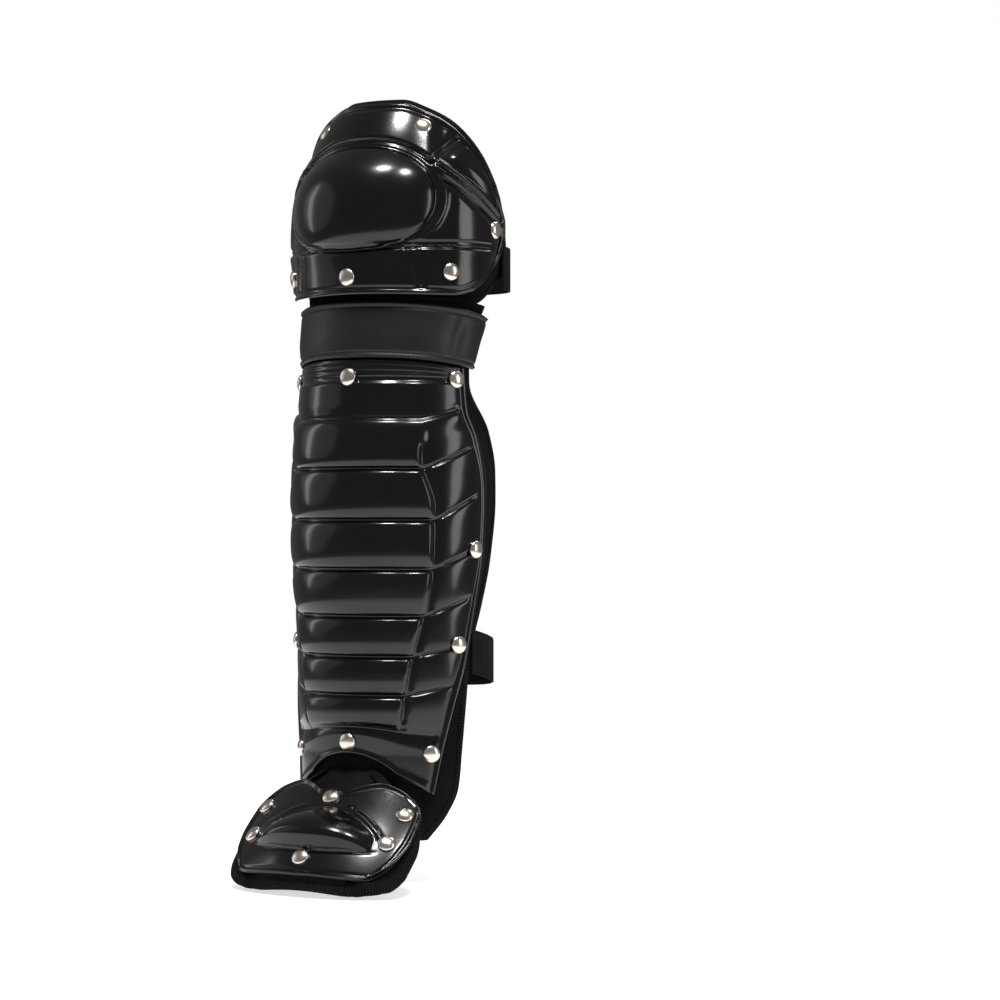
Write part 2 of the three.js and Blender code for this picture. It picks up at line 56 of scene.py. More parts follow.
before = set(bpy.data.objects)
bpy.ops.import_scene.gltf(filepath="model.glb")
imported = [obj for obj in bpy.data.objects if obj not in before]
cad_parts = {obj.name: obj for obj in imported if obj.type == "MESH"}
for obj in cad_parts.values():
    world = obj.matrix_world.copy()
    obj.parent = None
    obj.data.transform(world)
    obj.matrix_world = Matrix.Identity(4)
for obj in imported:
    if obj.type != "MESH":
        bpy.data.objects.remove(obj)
CAD_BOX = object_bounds()

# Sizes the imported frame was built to, in millimetres and degrees; the straps' seats are shares
# of the shells' lengths
SHIN_FOOT = 92.0
SHIN_LENGTH = 266.5
SHIN_RADIUS = 73.0
SHIN_WRAP = 84.0
CORNER_DROP = 28.0
BAND_HEIGHT = 38.5
BAND_DROOP = 9.0
BAND_RADIUS = 66.5
BAND_WRAP = 89.0
KNEE_SLOT = 6.5
KNEE_LENGTH = 131.0
KNEE_RADIUS = 77.0
KNEE_WRAP = 94.5
KNEE_LEAN = 16.0
KNEE_TUCK = 5.0
KNEE_SET = 6.0
SEAM_GAP = 1.0
SHELL_WALL = 2.6
LINER_WALL = 8.0
FIT = 0.3
KNEE_FIT = 0.9
SHIN_FIT = 0.6
BAND_FIT = 0.8
SHIN_LINER_WRAP = 104.0
KNEE_LINER_WRAP = 108.0
ANKLE_REACH = 58.0
TOE_LENGTH = 101.0
TOE_HALF = 72.0
TOE_CURVE = 131.0
TOE_WALL = 8.0
TOE_HINGE_DROP = 10.0
PLATE_TOP = 23.0
PLATE_LENGTH = 73.0
PLATE_HALF = 66.5
STRAP_WIDTH = 30.0
STRAP_WALL = 1.6
CALF_BACK = 48.0
KNEE_BACK = 60.0
STRAP_FALL = 14.0
STRAP_TUCK = 2.5
CALF_SEAT = 0.256
KNEE_SEAT = 0.15
CLIP_LENGTH = 24.0
MM = 0.001

# Arc lengths from the middle of a shell: to the cap's side, to a rib's seam and to the shin's edge
KNEE_REACH = 127.0
SEAM_REACH = 75.0
EDGE_REACH = 78.0
# Middle dome of the cap: centre height, half width, half height and the power of its outline
DOME_CENTRE = 63.5
DOME_WIDE = 62.0
DOME_HIGH = 35.6
DOME_POWER = 2.2
# Heights of the fine ridges along the shin's flange, as shares of its length
FLANGE_RIDGES = (0.962, 0.977, 0.991)
# Cap's segments, as (x, y, x, y) along its surface: corner groove and strut
CORNER_GROOVE = (57.0, 89.0, 82.0, 106.0)
STRUT = (64.0, 86.0, 119.0, 53.0)
# Band's crease as a share of its half width, its wall, and the edges that a rim's rounding takes
BAND_CREASE = 0.77
BAND_WALL = 3.8
RIM_ANGLE = 50
# Step of a tape's slopes along the sheet, depth of a rivet's shank and lift of its head
WALK_STEP = 0.012
RIVET_SINK = 5.0
RIVET_PROUD = 0.7

SHIN_TOP = SHIN_FOOT + SHIN_LENGTH
BAND_FOOT = SHIN_TOP + SEAM_GAP
BAND_TOP = BAND_FOOT + BAND_HEIGHT
KNEE_FOOT = BAND_TOP + KNEE_SLOT
LINER_OUT = SHELL_WALL + SHIN_FIT
LINER_FOOT = SHIN_FOOT - ANKLE_REACH
LINER_LENGTH = BAND_TOP - SEAM_GAP - LINER_FOOT

# Sections and outlines, as rows of shares: position along the piece, then radius, reach or height.
# The second values of SHIN_SLANT are millimetres and those of TOE_SLOPE are degrees.
SHIN_SECTION = (
    (0, 0.915), (0.12, 0.935), (0.3, 0.95), (0.5, 0.99), (0.72, 1), (0.82, 0.97), (0.9, 0.93),
    (1, 0.905),
)
SHIN_EDGE = (
    (-0.11, 0.6), (0, 0.667), (0.12, 0.75), (0.25, 0.86), (0.4, 0.935), (0.52, 0.985),
    (0.66, 1), (0.8, 0.935), (0.87, 0.86), (1, 0.85),
)
SHIN_SEAM = (
    (-0.1, 0.33), (0.08, 0.38), (0.25, 0.46), (0.36, 0.54), (0.46, 0.585), (0.62, 0.595),
    (0.75, 0.51), (1, 0.5),
)
SHIN_SLANT = (
    (0, -14), (0.05, -9), (0.09, 2), (0.15, 7), (0.25, 8), (0.35, 15), (0.45, 16),
    (0.6, 21), (0.72, 18), (0.85, 8), (0.94, 0), (1, 0),
)
SHIN_GROOVES = (0.722, 0.592, 0.467, 0.348, 0.246, 0.148, 0.07)
SHIN_SPLIT = 0.6
SHIN_BROW = 0.85
KNEE_SECTION = (
    (-0.1, 0.95), (0.1, 0.965), (0.3, 1), (0.47, 0.99), (0.58, 0.965), (0.68, 0.92), (0.78, 0.865),
    (0.88, 0.805), (0.97, 0.745), (1.08, 0.68),
)
KNEE_SETBACK = (
    (-0.1, 0), (0.3, 0), (0.47, 0.05), (0.62, 0.2), (0.72, 0.42), (0.84, 0.6),
    (0.97, 0.86), (1.08, 1.1),
)
KNEE_TOP = (
    (0, 1), (0.22, 0.998), (0.42, 0.95), (0.6, 0.875), (0.73, 0.775), (0.86, 0.615),
    (0.95, 0.47), (1, 0.385),
)
KNEE_LOW = (
    (0, -0.016), (0.44, -0.02), (0.6, -0.019), (0.73, 0.008), (0.865, 0.098), (0.95, 0.2),
    (0.975, 0.265), (1, 0.33),
)
KNEE_ARCH = ((0, 0.79), (0.15, 0.782), (0.3, 0.75), (0.42, 0.695), (0.5, 0.655))
SHIN_LINER_EDGE = (
    (0, 0.46), (0.045, 0.59), (0.09, 0.67), (0.13, 0.69), (0.25, 0.72), (0.34, 0.75),
    (0.43, 0.84), (0.54, 0.94), (0.63, 1), (0.69, 0.99), (0.76, 0.93), (0.85, 0.76),
    (0.93, 0.79), (1, 0.87),
)
KNEE_LINER_TOP = (
    (0, 1.03), (0.2, 1.03), (0.38, 0.985), (0.55, 0.92), (0.7, 0.81), (0.84, 0.63),
    (0.94, 0.44), (1, 0.27),
)
KNEE_LINER_LOW = ((0, -0.0545), (0.7, -0.0545), (0.8, -0.027), (0.9, 0.045), (1, 0.118))
TOE_SLOPE = ((0, 40), (0.18, 38), (0.29, 38), (0.53, 42), (0.76, 48), (1, 54))
TOE_WIDTH = (
    (0, 0.28), (0.07, 0.4), (0.13, 0.53), (0.19, 0.66), (0.26, 0.78), (0.35, 0.9),
    (0.44, 0.96), (0.57, 1), (0.75, 0.99), (0.86, 0.93), (0.95, 0.8), (1, 0.62),
)
PLATE_HEAD = ((0, 0), (0.15, 0.012), (0.32, -0.07), (0.56, -0.15), (0.8, -0.12), (1, -0.03))
PLATE_FOOT = ((0, 1), (0.5, 0.985), (0.8, 0.96), (0.93, 0.93), (1, 0.89))
PLATE_SIDE = (
    (0, 0.84), (0.07, 0.93), (0.18, 0.985), (0.45, 1), (0.68, 0.96), (0.85, 0.88),
    (1, 0.76),
)

# Rivets: shares of the shell's half width and length, and the lift as a share of the rib's height
RIVETS = (
    ("knee", 0, 0.0725, 0),
    ("knee", 0.585, 0.1, 0),
    ("knee", 0.895, 0.334, 0),
    ("knee", 0.4, 0.866, 0),
    ("shin", 0, 0.955, 0.26),
    ("shin", 0.775, 0.95, 0.2),
    ("shin", 0.895, 0.517, 0.3),
    ("shin", 0.775, 0.275, 0.3),
    ("shin", 0, 0.03, 0.3),
    ("shin", 0.585, 0, 0.2),
    ("toe", 0, 0.11, 0),
    ("toe", 0.81, 0.137, 0),
    ("toe", 0.78, 0.507, 0),
    ("toe", 0, 0.82, 0),
)


def clamp(x, low=0.0, high=1.0):
    return max(low, min(high, x))


def lerp(a, b, t):
    return a + (b - a) * t


def smooth(a, b, x):
    t = clamp((x - a) / (b - a))
    return t * t * (3 - 2 * t)


def bell(distance, width):
    return math.exp(-((distance / width) ** 2))


def along(table, x):
    """Smooth curve through a table of (position, value) rows."""
    last = len(table) - 1
    if x <= table[0][0]:
        return table[0][1]
    if x >= table[last][0]:
        return table[last][1]
    i = 0
    while x > table[i + 1][0]:
        i += 1

    def step(j):
        return (table[j + 1][1] - table[j][1]) / (table[j + 1][0] - table[j][0])

    def slope(j):
        if j == 0:
            return step(0)
        if j == last:
            return step(last - 1)
        a, b = step(j - 1), step(j)
        return 0.0 if a * b <= 0 else 2 * a * b / (a + b)

    width = table[i + 1][0] - table[i][0]
    t = (x - table[i][0]) / width
    m0, m1 = slope(i) * width, slope(i + 1) * width
    p0, p1 = table[i][1], table[i + 1][1]
    return (
        (2 * t**3 - 3 * t**2 + 1) * p0
        + (t**3 - 2 * t**2 + t) * m0
        + (-2 * t**3 + 3 * t**2) * p1
        + (t**3 - t**2) * m1
    )


def around(radius, setback, angle, z):
    """A point at an angle round a section whose centre is set back along +Y."""
    a = math.radians(angle)
    return Vector((radius * math.sin(a), setback - radius * math.cos(a), z))


def segment_distance(x, y, x0, y0, x1, y1):
    dx, dy = x1 - x0, y1 - y0
    t = clamp(((x - x0) * dx + (y - y0) * dy) / (dx * dx + dy * dy))
    return math.hypot(x - x0 - t * dx, y - y0 - t * dy), t


def shin_radius(z):
    return SHIN_RADIUS * along(SHIN_SECTION, (z - SHIN_FOOT) / SHIN_LENGTH)


def knee_share(z):
    return (z - KNEE_FOOT) / KNEE_LENGTH


def knee_radius(z):
    return KNEE_RADIUS * along(KNEE_SECTION, knee_share(z))


def knee_setback(z):
    return KNEE_SET + KNEE_LEAN * along(KNEE_SETBACK, knee_share(z))


def body_radius(z):
    neck = KNEE_RADIUS * along(KNEE_SECTION, 0) - KNEE_TUCK
    return lerp(shin_radius(z), neck, smooth(SHIN_TOP + BAND_HEIGHT / 2, KNEE_FOOT, z))


def body_setback(z):
    return KNEE_SET * smooth(SHIN_TOP, KNEE_FOOT, z)


def shin_place(u, share):
    """Height and angle of a point of the shin shell, from its column and share of the length."""
    side = clamp((abs(u) - SHIN_SPLIT) / (1 - SHIN_SPLIT))
    middle = min(abs(u) / SHIN_SPLIT, 1)
    sag = CORNER_DROP * 0.5 * middle**2 * (1 - smooth(0, 0.1, share))
    z = SHIN_FOOT + share * SHIN_LENGTH + along(SHIN_SLANT, share) * side - sag
    at = (z - SHIN_FOOT) / SHIN_LENGTH
    seam = SHIN_WRAP * along(SHIN_SEAM, at)
    edge = SHIN_WRAP * along(SHIN_EDGE, at)
    angle = math.copysign(lerp(middle * seam, edge, side), u)
    droop = 1.1 * BAND_DROOP * abs(angle / BAND_WRAP) ** 2.4 * smooth(0.94, 1, share)
    return z - droop, angle


def rib_profile(share):
    """Rounded crown between two grooves, from 0 in a groove to 1 on top, and the nearest groove."""
    below = max((g for g in SHIN_GROOVES if g <= share), default=None)
    above = min((g for g in (*SHIN_GROOVES, SHIN_BROW) if g > share), default=None)
    if below is None or above is None:
        return 0.0, min(abs(share - g) for g in (*SHIN_GROOVES, SHIN_BROW)) * SHIN_LENGTH
    near = min(share - below, above - share) * SHIN_LENGTH
    centre = 2 * (share - below) / (above - below) - 1
    return (1 - abs(centre) ** 2.7) ** 0.55, near


def shin_relief(u, share, sizes):
    """Cushioned ribs, slanted side panels and, on top, a flange with fine ridges."""
    rise = sizes.rib_rise / MM
    depth = sizes.groove_depth / MM
    side = clamp((abs(u) - SHIN_SPLIT) / (1 - SHIN_SPLIT))
    is_side = smooth(0, 0.09, side)
    crown, near = rib_profile(share)
    floor = -depth * (1 - smooth(0.6, 2.2, near))
    front = rise * crown + floor
    panel = rise * (0.5 - 0.28 * side) * crown**0.6 + floor
    height = lerp(front, panel, is_side * (1 - smooth(0.78, SHIN_BROW, share)))
    if share > SHIN_BROW:
        swell = smooth(0, 0.035, share - SHIN_BROW) * (1 - smooth(0.932, 0.95, share))
        height = rise * lerp(0.16, 0.5, swell) * (1 - 0.45 * side)
        height *= 1 - smooth(0.938, 0.95, share)
        height -= 0.6 * depth * bell(near, 1.4)
        height += 0.9 * sum(bell((share - at) * SHIN_LENGTH, 1.15) for at in FLANGE_RIDGES)
    if share < SHIN_GROOVES[-1]:
        height = 0.3 * rise * smooth(0.0, 5.0, near) + floor
        height += 0.9 * bell(share * SHIN_LENGTH - 1.6, 1.3)
    seam = abs(abs(u) - SHIN_SPLIT) * SEAM_REACH
    cut = smooth(0.055, 0.09, share) * (1 - smooth(0.75, 0.81, share))
    height -= (0.85 * max(height, 0) + 0.5 * depth) * bell(seam, 1.9) * cut
    meet = bell(seam - 2.4, 2.0) * bell(near, 3.0) * cut
    height += 0.9 * meet * is_side
    to_edge = (1 - abs(u)) * EDGE_REACH
    height = lerp(0.25 * rise, height, smooth(4.0, 9.0, to_edge))
    height += 1.1 * bell(to_edge - 1.3, 1.0) - 0.7 * bell(to_edge - 4.2, 1.0)
    return height


def shin_point(u, v, sizes):
    z, angle = shin_place(u, v)
    return around(shin_radius(z) + shin_relief(u, v, sizes), 0, angle, z)


def knee_relief(angle, z, sizes):
    """Middle dome, arched top panel, side wings, struts, lower band and a rolled rim."""
    a = abs(angle) / KNEE_WRAP
    s = knee_share(z)
    x, y = a * KNEE_REACH, s * KNEE_LENGTH
    depth = sizes.groove_depth / MM
    across, up = abs(x / DOME_WIDE), abs((y - DOME_CENTRE) / DOME_HIGH)
    q = (across**DOME_POWER + up**DOME_POWER) ** (1 / DOME_POWER)
    height = 0.0
    if q < 1:
        height += sizes.dome_rise / MM * (1 - q**2.0) ** 0.7
    ring = (q - 1.0) * 44.0
    height -= 1.4 * depth * bell(ring - 1.2, 1.5)
    beside = smooth(0.3, 0.42, a) * smooth(0.24, 0.34, s) * (1 - smooth(0.54, 0.64, s))
    height += 1.5 * bell(ring - 4.6, 1.7) * beside
    height -= 0.7 * depth * bell(ring - 9.0, 1.6) * beside
    arch = (s - along(KNEE_ARCH, a)) * KNEE_LENGTH
    if a < 0.5:
        fade = 1 - smooth(0.46, 0.5, a)
        height -= 1.7 * depth * bell(arch, 1.7) * fade
    height += 1.8 * smooth(0.5, 4.0, arch) * (1 - smooth(0.42, 0.54, a))
    corner, _ = segment_distance(x, y, *CORNER_GROOVE)
    height -= 1.7 * depth * bell(corner, 1.8)
    strut, t = segment_distance(x, y, *STRUT)
    height += sizes.strut_rise / MM * bell(strut - 2.4, 1.5) * (1 - 0.4 * t)
    height -= 1.0 * depth * bell(strut, 1.0)
    height -= 0.9 * depth * bell(strut - 5.6, 1.5) * smooth(0.05, 0.2, t)
    if a > 0.5:
        wing = smooth(0.52, 0.62, a) * (1 - smooth(0.84, 0.96, a))
        height += 1.5 * wing * smooth(6.0, 13.0, strut) * smooth(4.0, 10.0, corner)
    low = (0.222 + 0.02 * min(a / 0.6, 1)) * KNEE_LENGTH
    fade = 1 - smooth(0.84, 0.9, a)
    height -= 1.4 * depth * (bell(y - low + 1.4, 1.1) + bell(y - low - 1.4, 1.1)) * fade
    if y < low:
        height += 1.2 * smooth(1.8, 4.6, low - y) * (1 - smooth(0.78, 0.94, a))
        cut, _ = segment_distance(x, y, 45.5, low - 1, 53.0, 5.0)
        height -= 1.2 * depth * bell(cut - 2.4, 1.7) + 0.5 * depth * bell(cut, 1.8)
    return height


def knee_point(u, v, sizes):
    reach = abs(u)
    low = KNEE_FOOT + KNEE_LENGTH * along(KNEE_LOW, reach)
    high = KNEE_FOOT + KNEE_LENGTH * along(KNEE_TOP, reach)
    z, angle = lerp(low, high, v), KNEE_WRAP * u
    to_edge = min(z - low, high - z, (1 - reach) * KNEE_REACH)
    height = knee_relief(angle, z, sizes)
    height = lerp(0.9, height, smooth(2.6, 5.6, to_edge))
    height += 1.1 * bell(to_edge - 1.4, 1.1) - 0.8 * bell(to_edge - 4.4, 1.0)
    return around(knee_radius(z) + height, knee_setback(z), angle, z)


def shin_liner_point(u, v):
    z = LINER_FOOT + v * LINER_LENGTH
    angle = SHIN_LINER_WRAP * along(SHIN_LINER_EDGE, v) * u
    return around(body_radius(z) - LINER_OUT, body_setback(z), angle, z)


def knee_liner_point(u, v):
    reach = abs(u)
    low = KNEE_FOOT + KNEE_LENGTH * along(KNEE_LINER_LOW, reach)
    high = KNEE_FOOT + KNEE_LENGTH * along(KNEE_LINER_TOP, reach) - 1.0
    z = lerp(low, high, v)
    setback = KNEE_SET if z < KNEE_FOOT else knee_setback(z)
    tuck = KNEE_TUCK * (1 - smooth(-0.03, 0.14, knee_share(z)))
    return around(knee_radius(z) - SHELL_WALL - KNEE_FIT - tuck, setback, KNEE_LINER_WRAP * u, z)


def band_point(u, v):
    """Padded band: crowned between piped edges, with a soft crease near each end."""
    drop = BAND_DROOP * abs(u) ** 2.4
    z = BAND_FOOT + v * BAND_HEIGHT - drop * lerp(0.8, 1, v)
    angle = BAND_WRAP * lerp(0.9, 1, v) * u
    crown = 2.7 * max(math.sin(math.pi * v), 0) ** 0.55
    crown += 1.1 * bell((v - 0.04) * BAND_HEIGHT, 0.9) + 1.1 * bell((v - 0.96) * BAND_HEIGHT, 0.9)
    crown -= 0.7 * bell((v - 0.105) * BAND_HEIGHT, 0.7) + 0.7 * bell((v - 0.895) * BAND_HEIGHT, 0.7)
    crown -= 1.3 * bell((abs(u) - BAND_CREASE) * 100, 5.0) * max(math.sin(math.pi * v), 0) ** 0.5
    crown -= 1.2 * smooth(0.93, 1, abs(u))
    wrinkle = 0.22 * math.sin(u * 21 + 2.0 * math.sin(v * 4)) * math.sin(math.pi * v)
    crown += wrinkle * smooth(0.3, 0.75, abs(u))
    under = body_radius(z + drop) - LINER_OUT + BAND_FIT
    return around(max(BAND_RADIUS, under + 4) + crown - 0.8, body_setback(z), angle, z)


HINGE_Y = -(shin_radius(SHIN_FOOT) - LINER_OUT + FIT)
HINGE_Z = SHIN_FOOT - TOE_HINGE_DROP
SPINE = {}


def toe_spine(t):
    key = round(t, 4)
    if key not in SPINE:
        steps = 24
        y, z = HINGE_Y, HINGE_Z
        for i in range(steps):
            slope = math.radians(along(TOE_SLOPE, (i + 0.5) / steps * t / TOE_LENGTH))
            y -= math.cos(slope) * t / steps
            z -= math.sin(slope) * t / steps
        SPINE[key] = (y, z, math.radians(along(TOE_SLOPE, t / TOE_LENGTH)))
    return SPINE[key]


def toe_surface(w, t, lift):
    y, z, slope = toe_spine(t)
    reach = TOE_CURVE + lift
    back = reach * math.cos(w / TOE_CURVE) - TOE_CURVE
    x = reach * math.sin(w / TOE_CURVE)
    return Vector((x, y - math.sin(slope) * back, z + math.cos(slope) * back))


def toe_start(w, lift):
    low, high = -40.0, TOE_LENGTH * 0.5
    for _ in range(22):
        mid = (low + high) / 2
        p = toe_surface(w, mid, lift)
        if math.hypot(p.x, p.y) < -HINGE_Y or p.y > 0:
            low = mid
        else:
            high = mid
    return high


def toe_pad_point(u, v):
    across = TOE_HALF * TOE_WIDTH[0][1] * u
    sink = 1.2 * abs(u) ** 6 + 1.5 * smooth(0.9, 1, 1 - v)
    start = toe_start(across, -sink)
    t = lerp(TOE_LENGTH, start, v)
    w = TOE_HALF * along(TOE_WIDTH, 1 - v) * u
    ripple = 0.3 * (math.sin(w * 0.23 + t * 0.11) * math.sin(t * 0.31 + 1.0) - 1)
    ripple *= smooth(0, 0.3, v) * smooth(0, 0.25, 1 - abs(u))
    return toe_surface(w, t, -sink + ripple)


def plate_relief(w, t, sizes):
    """Crescent dome with a sharp lower crease, a valley above it and brow ridges beside."""
    a = abs(w) / (PLATE_HALF * 0.66)
    s = (t - PLATE_TOP) / PLATE_LENGTH
    crease = 0.73 - 0.09 * a**2
    brow = 0.23 + 0.24 * a**2
    k = (s - brow) / (crease - brow)
    height = 0.0
    if a < 1 and 0 < k < 1:
        if k < 0.72:
            body = math.sin(math.pi / 2 * k / 0.72) ** 1.15
        else:
            body = math.cos(math.pi / 2 * (k - 0.72) / 0.28) ** 0.8
        height += sizes.toe_dome_rise / MM * body * (1 - a**2.6)
    edge_fade = 1 - smooth(0.85, 1.15, a)
    height -= 0.8 * bell((s - crease - 0.012) * PLATE_LENGTH, 1.3) * edge_fade
    ridge = smooth(0.2, 0.55, a) * (1 - smooth(0.95, 1.2, a))
    height += 1.5 * bell((s - brow + 0.03) * PLATE_LENGTH, 2.4) * ridge
    notch = bell(w, 4.2) * (1 - smooth(0.02, 0.2, s))
    return height - 1.1 * notch


def plate_point(u, v, sizes):
    reach = abs(u)
    head = PLATE_TOP + PLATE_LENGTH * along(PLATE_HEAD, reach)
    foot = PLATE_TOP + PLATE_LENGTH * along(PLATE_FOOT, reach)
    down = 1 - v
    w = PLATE_HALF * along(PLATE_SIDE, down) * u
    t = lerp(head, foot, down)
    to_edge = min(t - head, foot - t, (1 - reach) * PLATE_HALF)
    height = plate_relief(w, t, sizes) * smooth(1.5, 5.0, to_edge)
    height += 1.3 * bell(to_edge - 1.3, 1.0) - 0.6 * bell(to_edge - 4.0, 1.0)
    return toe_surface(w, t, FIT + SHELL_WALL + height)


# Shader node groups


def group_with(name, inputs, outputs):
    """An empty shader group and its two end nodes; an input without a value is a vector."""
    group = bpy.data.node_groups.new(name, "ShaderNodeTree")
    for label, value in inputs.items():
        kind = "NodeSocketVector" if value is None else "NodeSocketFloat"
        socket = group.interface.new_socket(name=label, in_out="INPUT", socket_type=kind)
        if value is not None:
            socket.default_value = value
    for label in outputs:
        group.interface.new_socket(name=label, in_out="OUTPUT", socket_type="NodeSocketFloat")
    return group, group.nodes.new("NodeGroupInput"), group.nodes.new("NodeGroupOutput")


def math_node(tree, operation, first, second=None, third=None):
    node = tree.nodes.new("ShaderNodeMath")
    node.operation = operation
    for socket, value in zip(node.inputs, (first, second, third)):
        if value is None:
            continue
        if isinstance(value, (int, float)):
            socket.default_value = value
        else:
            tree.links.new(value, socket)
    return node.outputs[0]


def grain_group():
    """Pebbled or orange-peel surface: a height and a slow blotch over Object coordinates."""
    if "Surface grain" in bpy.data.node_groups:
        return bpy.data.node_groups["Surface grain"]
    group, start, end = group_with(
        "Surface grain",
        {"Vector": None, "Pebble Scale": 900.0, "Blotch Scale": 18.0, "Pebble Share": 0.5},
        ("Height", "Blotch"),
    )
    cells = group.nodes.new("ShaderNodeTexVoronoi")
    cells.feature = "SMOOTH_F1"
    fine = group.nodes.new("ShaderNodeTexNoise")
    fine.inputs["Detail"].default_value = 4
    slow = group.nodes.new("ShaderNodeTexNoise")
    slow.inputs["Detail"].default_value = 5
    slow.inputs["Roughness"].default_value = 0.6
    links = group.links
    for node in (cells, fine, slow):
        links.new(start.outputs["Vector"], node.inputs["Vector"])
    links.new(start.outputs["Pebble Scale"], cells.inputs["Scale"])
    links.new(start.outputs["Pebble Scale"], fine.inputs["Scale"])
    links.new(start.outputs["Blotch Scale"], slow.inputs["Scale"])
    mix = group.nodes.new("ShaderNodeMix")
    links.new(start.outputs["Pebble Share"], mix.inputs["Factor"])
    links.new(fine.outputs["Fac"], mix.inputs["A"])
    links.new(cells.outputs["Distance"], mix.inputs["B"])
    links.new(mix.outputs["Result"], end.inputs["Height"])
    links.new(slow.outputs["Fac"], end.inputs["Blotch"])
    return group


def weave_group():
    """Crossed yarns over a UV map in metres: a height, and painted shade that darkens the gaps between
    yarns where the height is low.
    """
    if "Crossed yarns" in bpy.data.node_groups:
        return bpy.data.node_groups["Crossed yarns"]
    group, start, end = group_with(
        "Crossed yarns",
        {"Vector": None, "Along": 900.0, "Across": 900.0, "Cross Share": 0.5, "Fuzz": 0.25},
        ("Height", "Tone"),
    )
    links = group.links
    split = group.nodes.new("ShaderNodeSeparateXYZ")
    links.new(start.outputs["Vector"], split.inputs[0])
    turn_a = math_node(group, "MULTIPLY", split.outputs["X"], start.outputs["Along"])
    turn_b = math_node(group, "MULTIPLY", split.outputs["Y"], start.outputs["Across"])
    wave_a = math_node(group, "SINE", turn_a)
    wave_b = math_node(group, "SINE", turn_b)
    crossed = math_node(group, "MULTIPLY", wave_a, wave_b)
    mix = group.nodes.new("ShaderNodeMix")
    links.new(start.outputs["Cross Share"], mix.inputs["Factor"])
    links.new(wave_a, mix.inputs["A"])
    links.new(crossed, mix.inputs["B"])
    noise = group.nodes.new("ShaderNodeTexNoise")
    noise.inputs["Scale"].default_value = 1400
    noise.inputs["Detail"].default_value = 3
    links.new(start.outputs["Vector"], noise.inputs["Vector"])
    fuzz = math_node(group, "MULTIPLY", noise.outputs["Fac"], start.outputs["Fuzz"])
    height = math_node(group, "MULTIPLY_ADD", mix.outputs["Result"], 0.35, fuzz)
    # Painted shade: the colour follows the yarn height, lighter on the yarns and darker in the gaps
    # between them
    gap_shade_tone = math_node(group, "MULTIPLY_ADD", mix.outputs["Result"], 0.3, 0.6)
    links.new(height, end.inputs["Height"])
    links.new(gap_shade_tone, end.inputs["Tone"])
    return group


def stitch_group():
    """A row of stitches over a UV map in metres, at one offset across it: a mask."""
    if "Stitch row" in bpy.data.node_groups:
        return bpy.data.node_groups["Stitch row"]
    group, start, end = group_with(
        "Stitch row",
        {"Along": 0.0, "Across": 0.0, "Offset": 0.0015, "Pitch": 0.0032, "Width": 0.0004},
        ("Mask",),
    )
    away = math_node(group, "SUBTRACT", start.outputs["Across"], start.outputs["Offset"])
    share = math_node(group, "DIVIDE", math_node(group, "ABSOLUTE", away), start.outputs["Width"])
    body = math_node(group, "SUBTRACT", 1.0, share)
    turns = math_node(group, "DIVIDE", start.outputs["Along"], start.outputs["Pitch"])
    wave = math_node(group, "SINE", math_node(group, "MULTIPLY", turns, 2 * math.pi))
    dash = math_node(group, "MULTIPLY_ADD", wave, 1.6, 1.0)
    dash.node.use_clamp = True
    mask = math_node(group, "MULTIPLY", body, dash)
    mask.node.use_clamp = True
    group.links.new(mask, end.inputs["Mask"])
    return group


def stitched(tree, vector, offsets):
    """One mask for rows of stitches at several offsets across a UV map."""
    split = tree.nodes.new("ShaderNodeSeparateXYZ")
    tree.links.new(vector, split.inputs[0])
    total = None
    for offset in offsets:
        row = place_group(tree, stitch_group(), {"Offset": offset})
        tree.links.new(split.outputs["X"], row.inputs["Along"])
        tree.links.new(split.outputs["Y"], row.inputs["Across"])
        mask = row.outputs["Mask"]
        total = mask if total is None else math_node(tree, "MAXIMUM", total, mask)
    return total


def new_material(name):
    material = bpy.data.materials.new(name)
    material.use_nodes = True
    return material, material.node_tree, material.node_tree.nodes["Principled BSDF"]


def place_group(tree, group, values):
    node = tree.nodes.new("ShaderNodeGroup")
    node.node_tree = group
    for label, value in values.items():
        node.inputs[label].default_value = value
    return node


def ranged(tree, source, low, high, to_low, to_high):
    node = tree.nodes.new("ShaderNodeMapRange")
    node.inputs["From Min"].default_value = low
    node.inputs["From Max"].default_value = high
    node.inputs["To Min"].default_value = to_low
    node.inputs["To Max"].default_value = to_high
    tree.links.new(source, node.inputs["Value"])
    return node.outputs["Result"]


def toned(tree, factor, dark, light):
    node = tree.nodes.new("ShaderNodeMix")
    node.data_type = "RGBA"
    node.inputs["A"].default_value = (*dark, 1)
    node.inputs["B"].default_value = (*light, 1)
    tree.links.new(factor, node.inputs["Factor"])
    return node.outputs["Result"]


def bumped(tree, shader, height, strength, distance):
    node = tree.nodes.new("ShaderNodeBump")
    node.inputs["Strength"].default_value = strength
    node.inputs["Distance"].default_value = distance
    tree.links.new(height, node.inputs["Height"])
    tree.links.new(node.outputs["Normal"], shader.inputs["Normal"])


def surface_material(name, dark, light, rough, grain, strength, distance, rows=()):
    """A moulded, coated or plated surface over the grain group, with rows of stitches if given."""
    material, tree, shader = new_material(name)
    where = tree.nodes.new("ShaderNodeTexCoord")
    node = place_group(tree, grain_group(), grain)
    tree.links.new(where.outputs["Object"], node.inputs["Vector"])
    tree.links.new(toned(tree, node.outputs["Blotch"], dark, light), shader.inputs["Base Color"])
    tree.links.new(ranged(tree, node.outputs["Blotch"], 0.3, 0.7, *rough), shader.inputs["Roughness"])
    height = node.outputs["Height"]
    if rows:
        mask = stitched(tree, where.outputs["UV"], rows)
        height = math_node(tree, "MULTIPLY_ADD", mask, 2.0, height)
    bumped(tree, shader, height, strength, distance)
    return material


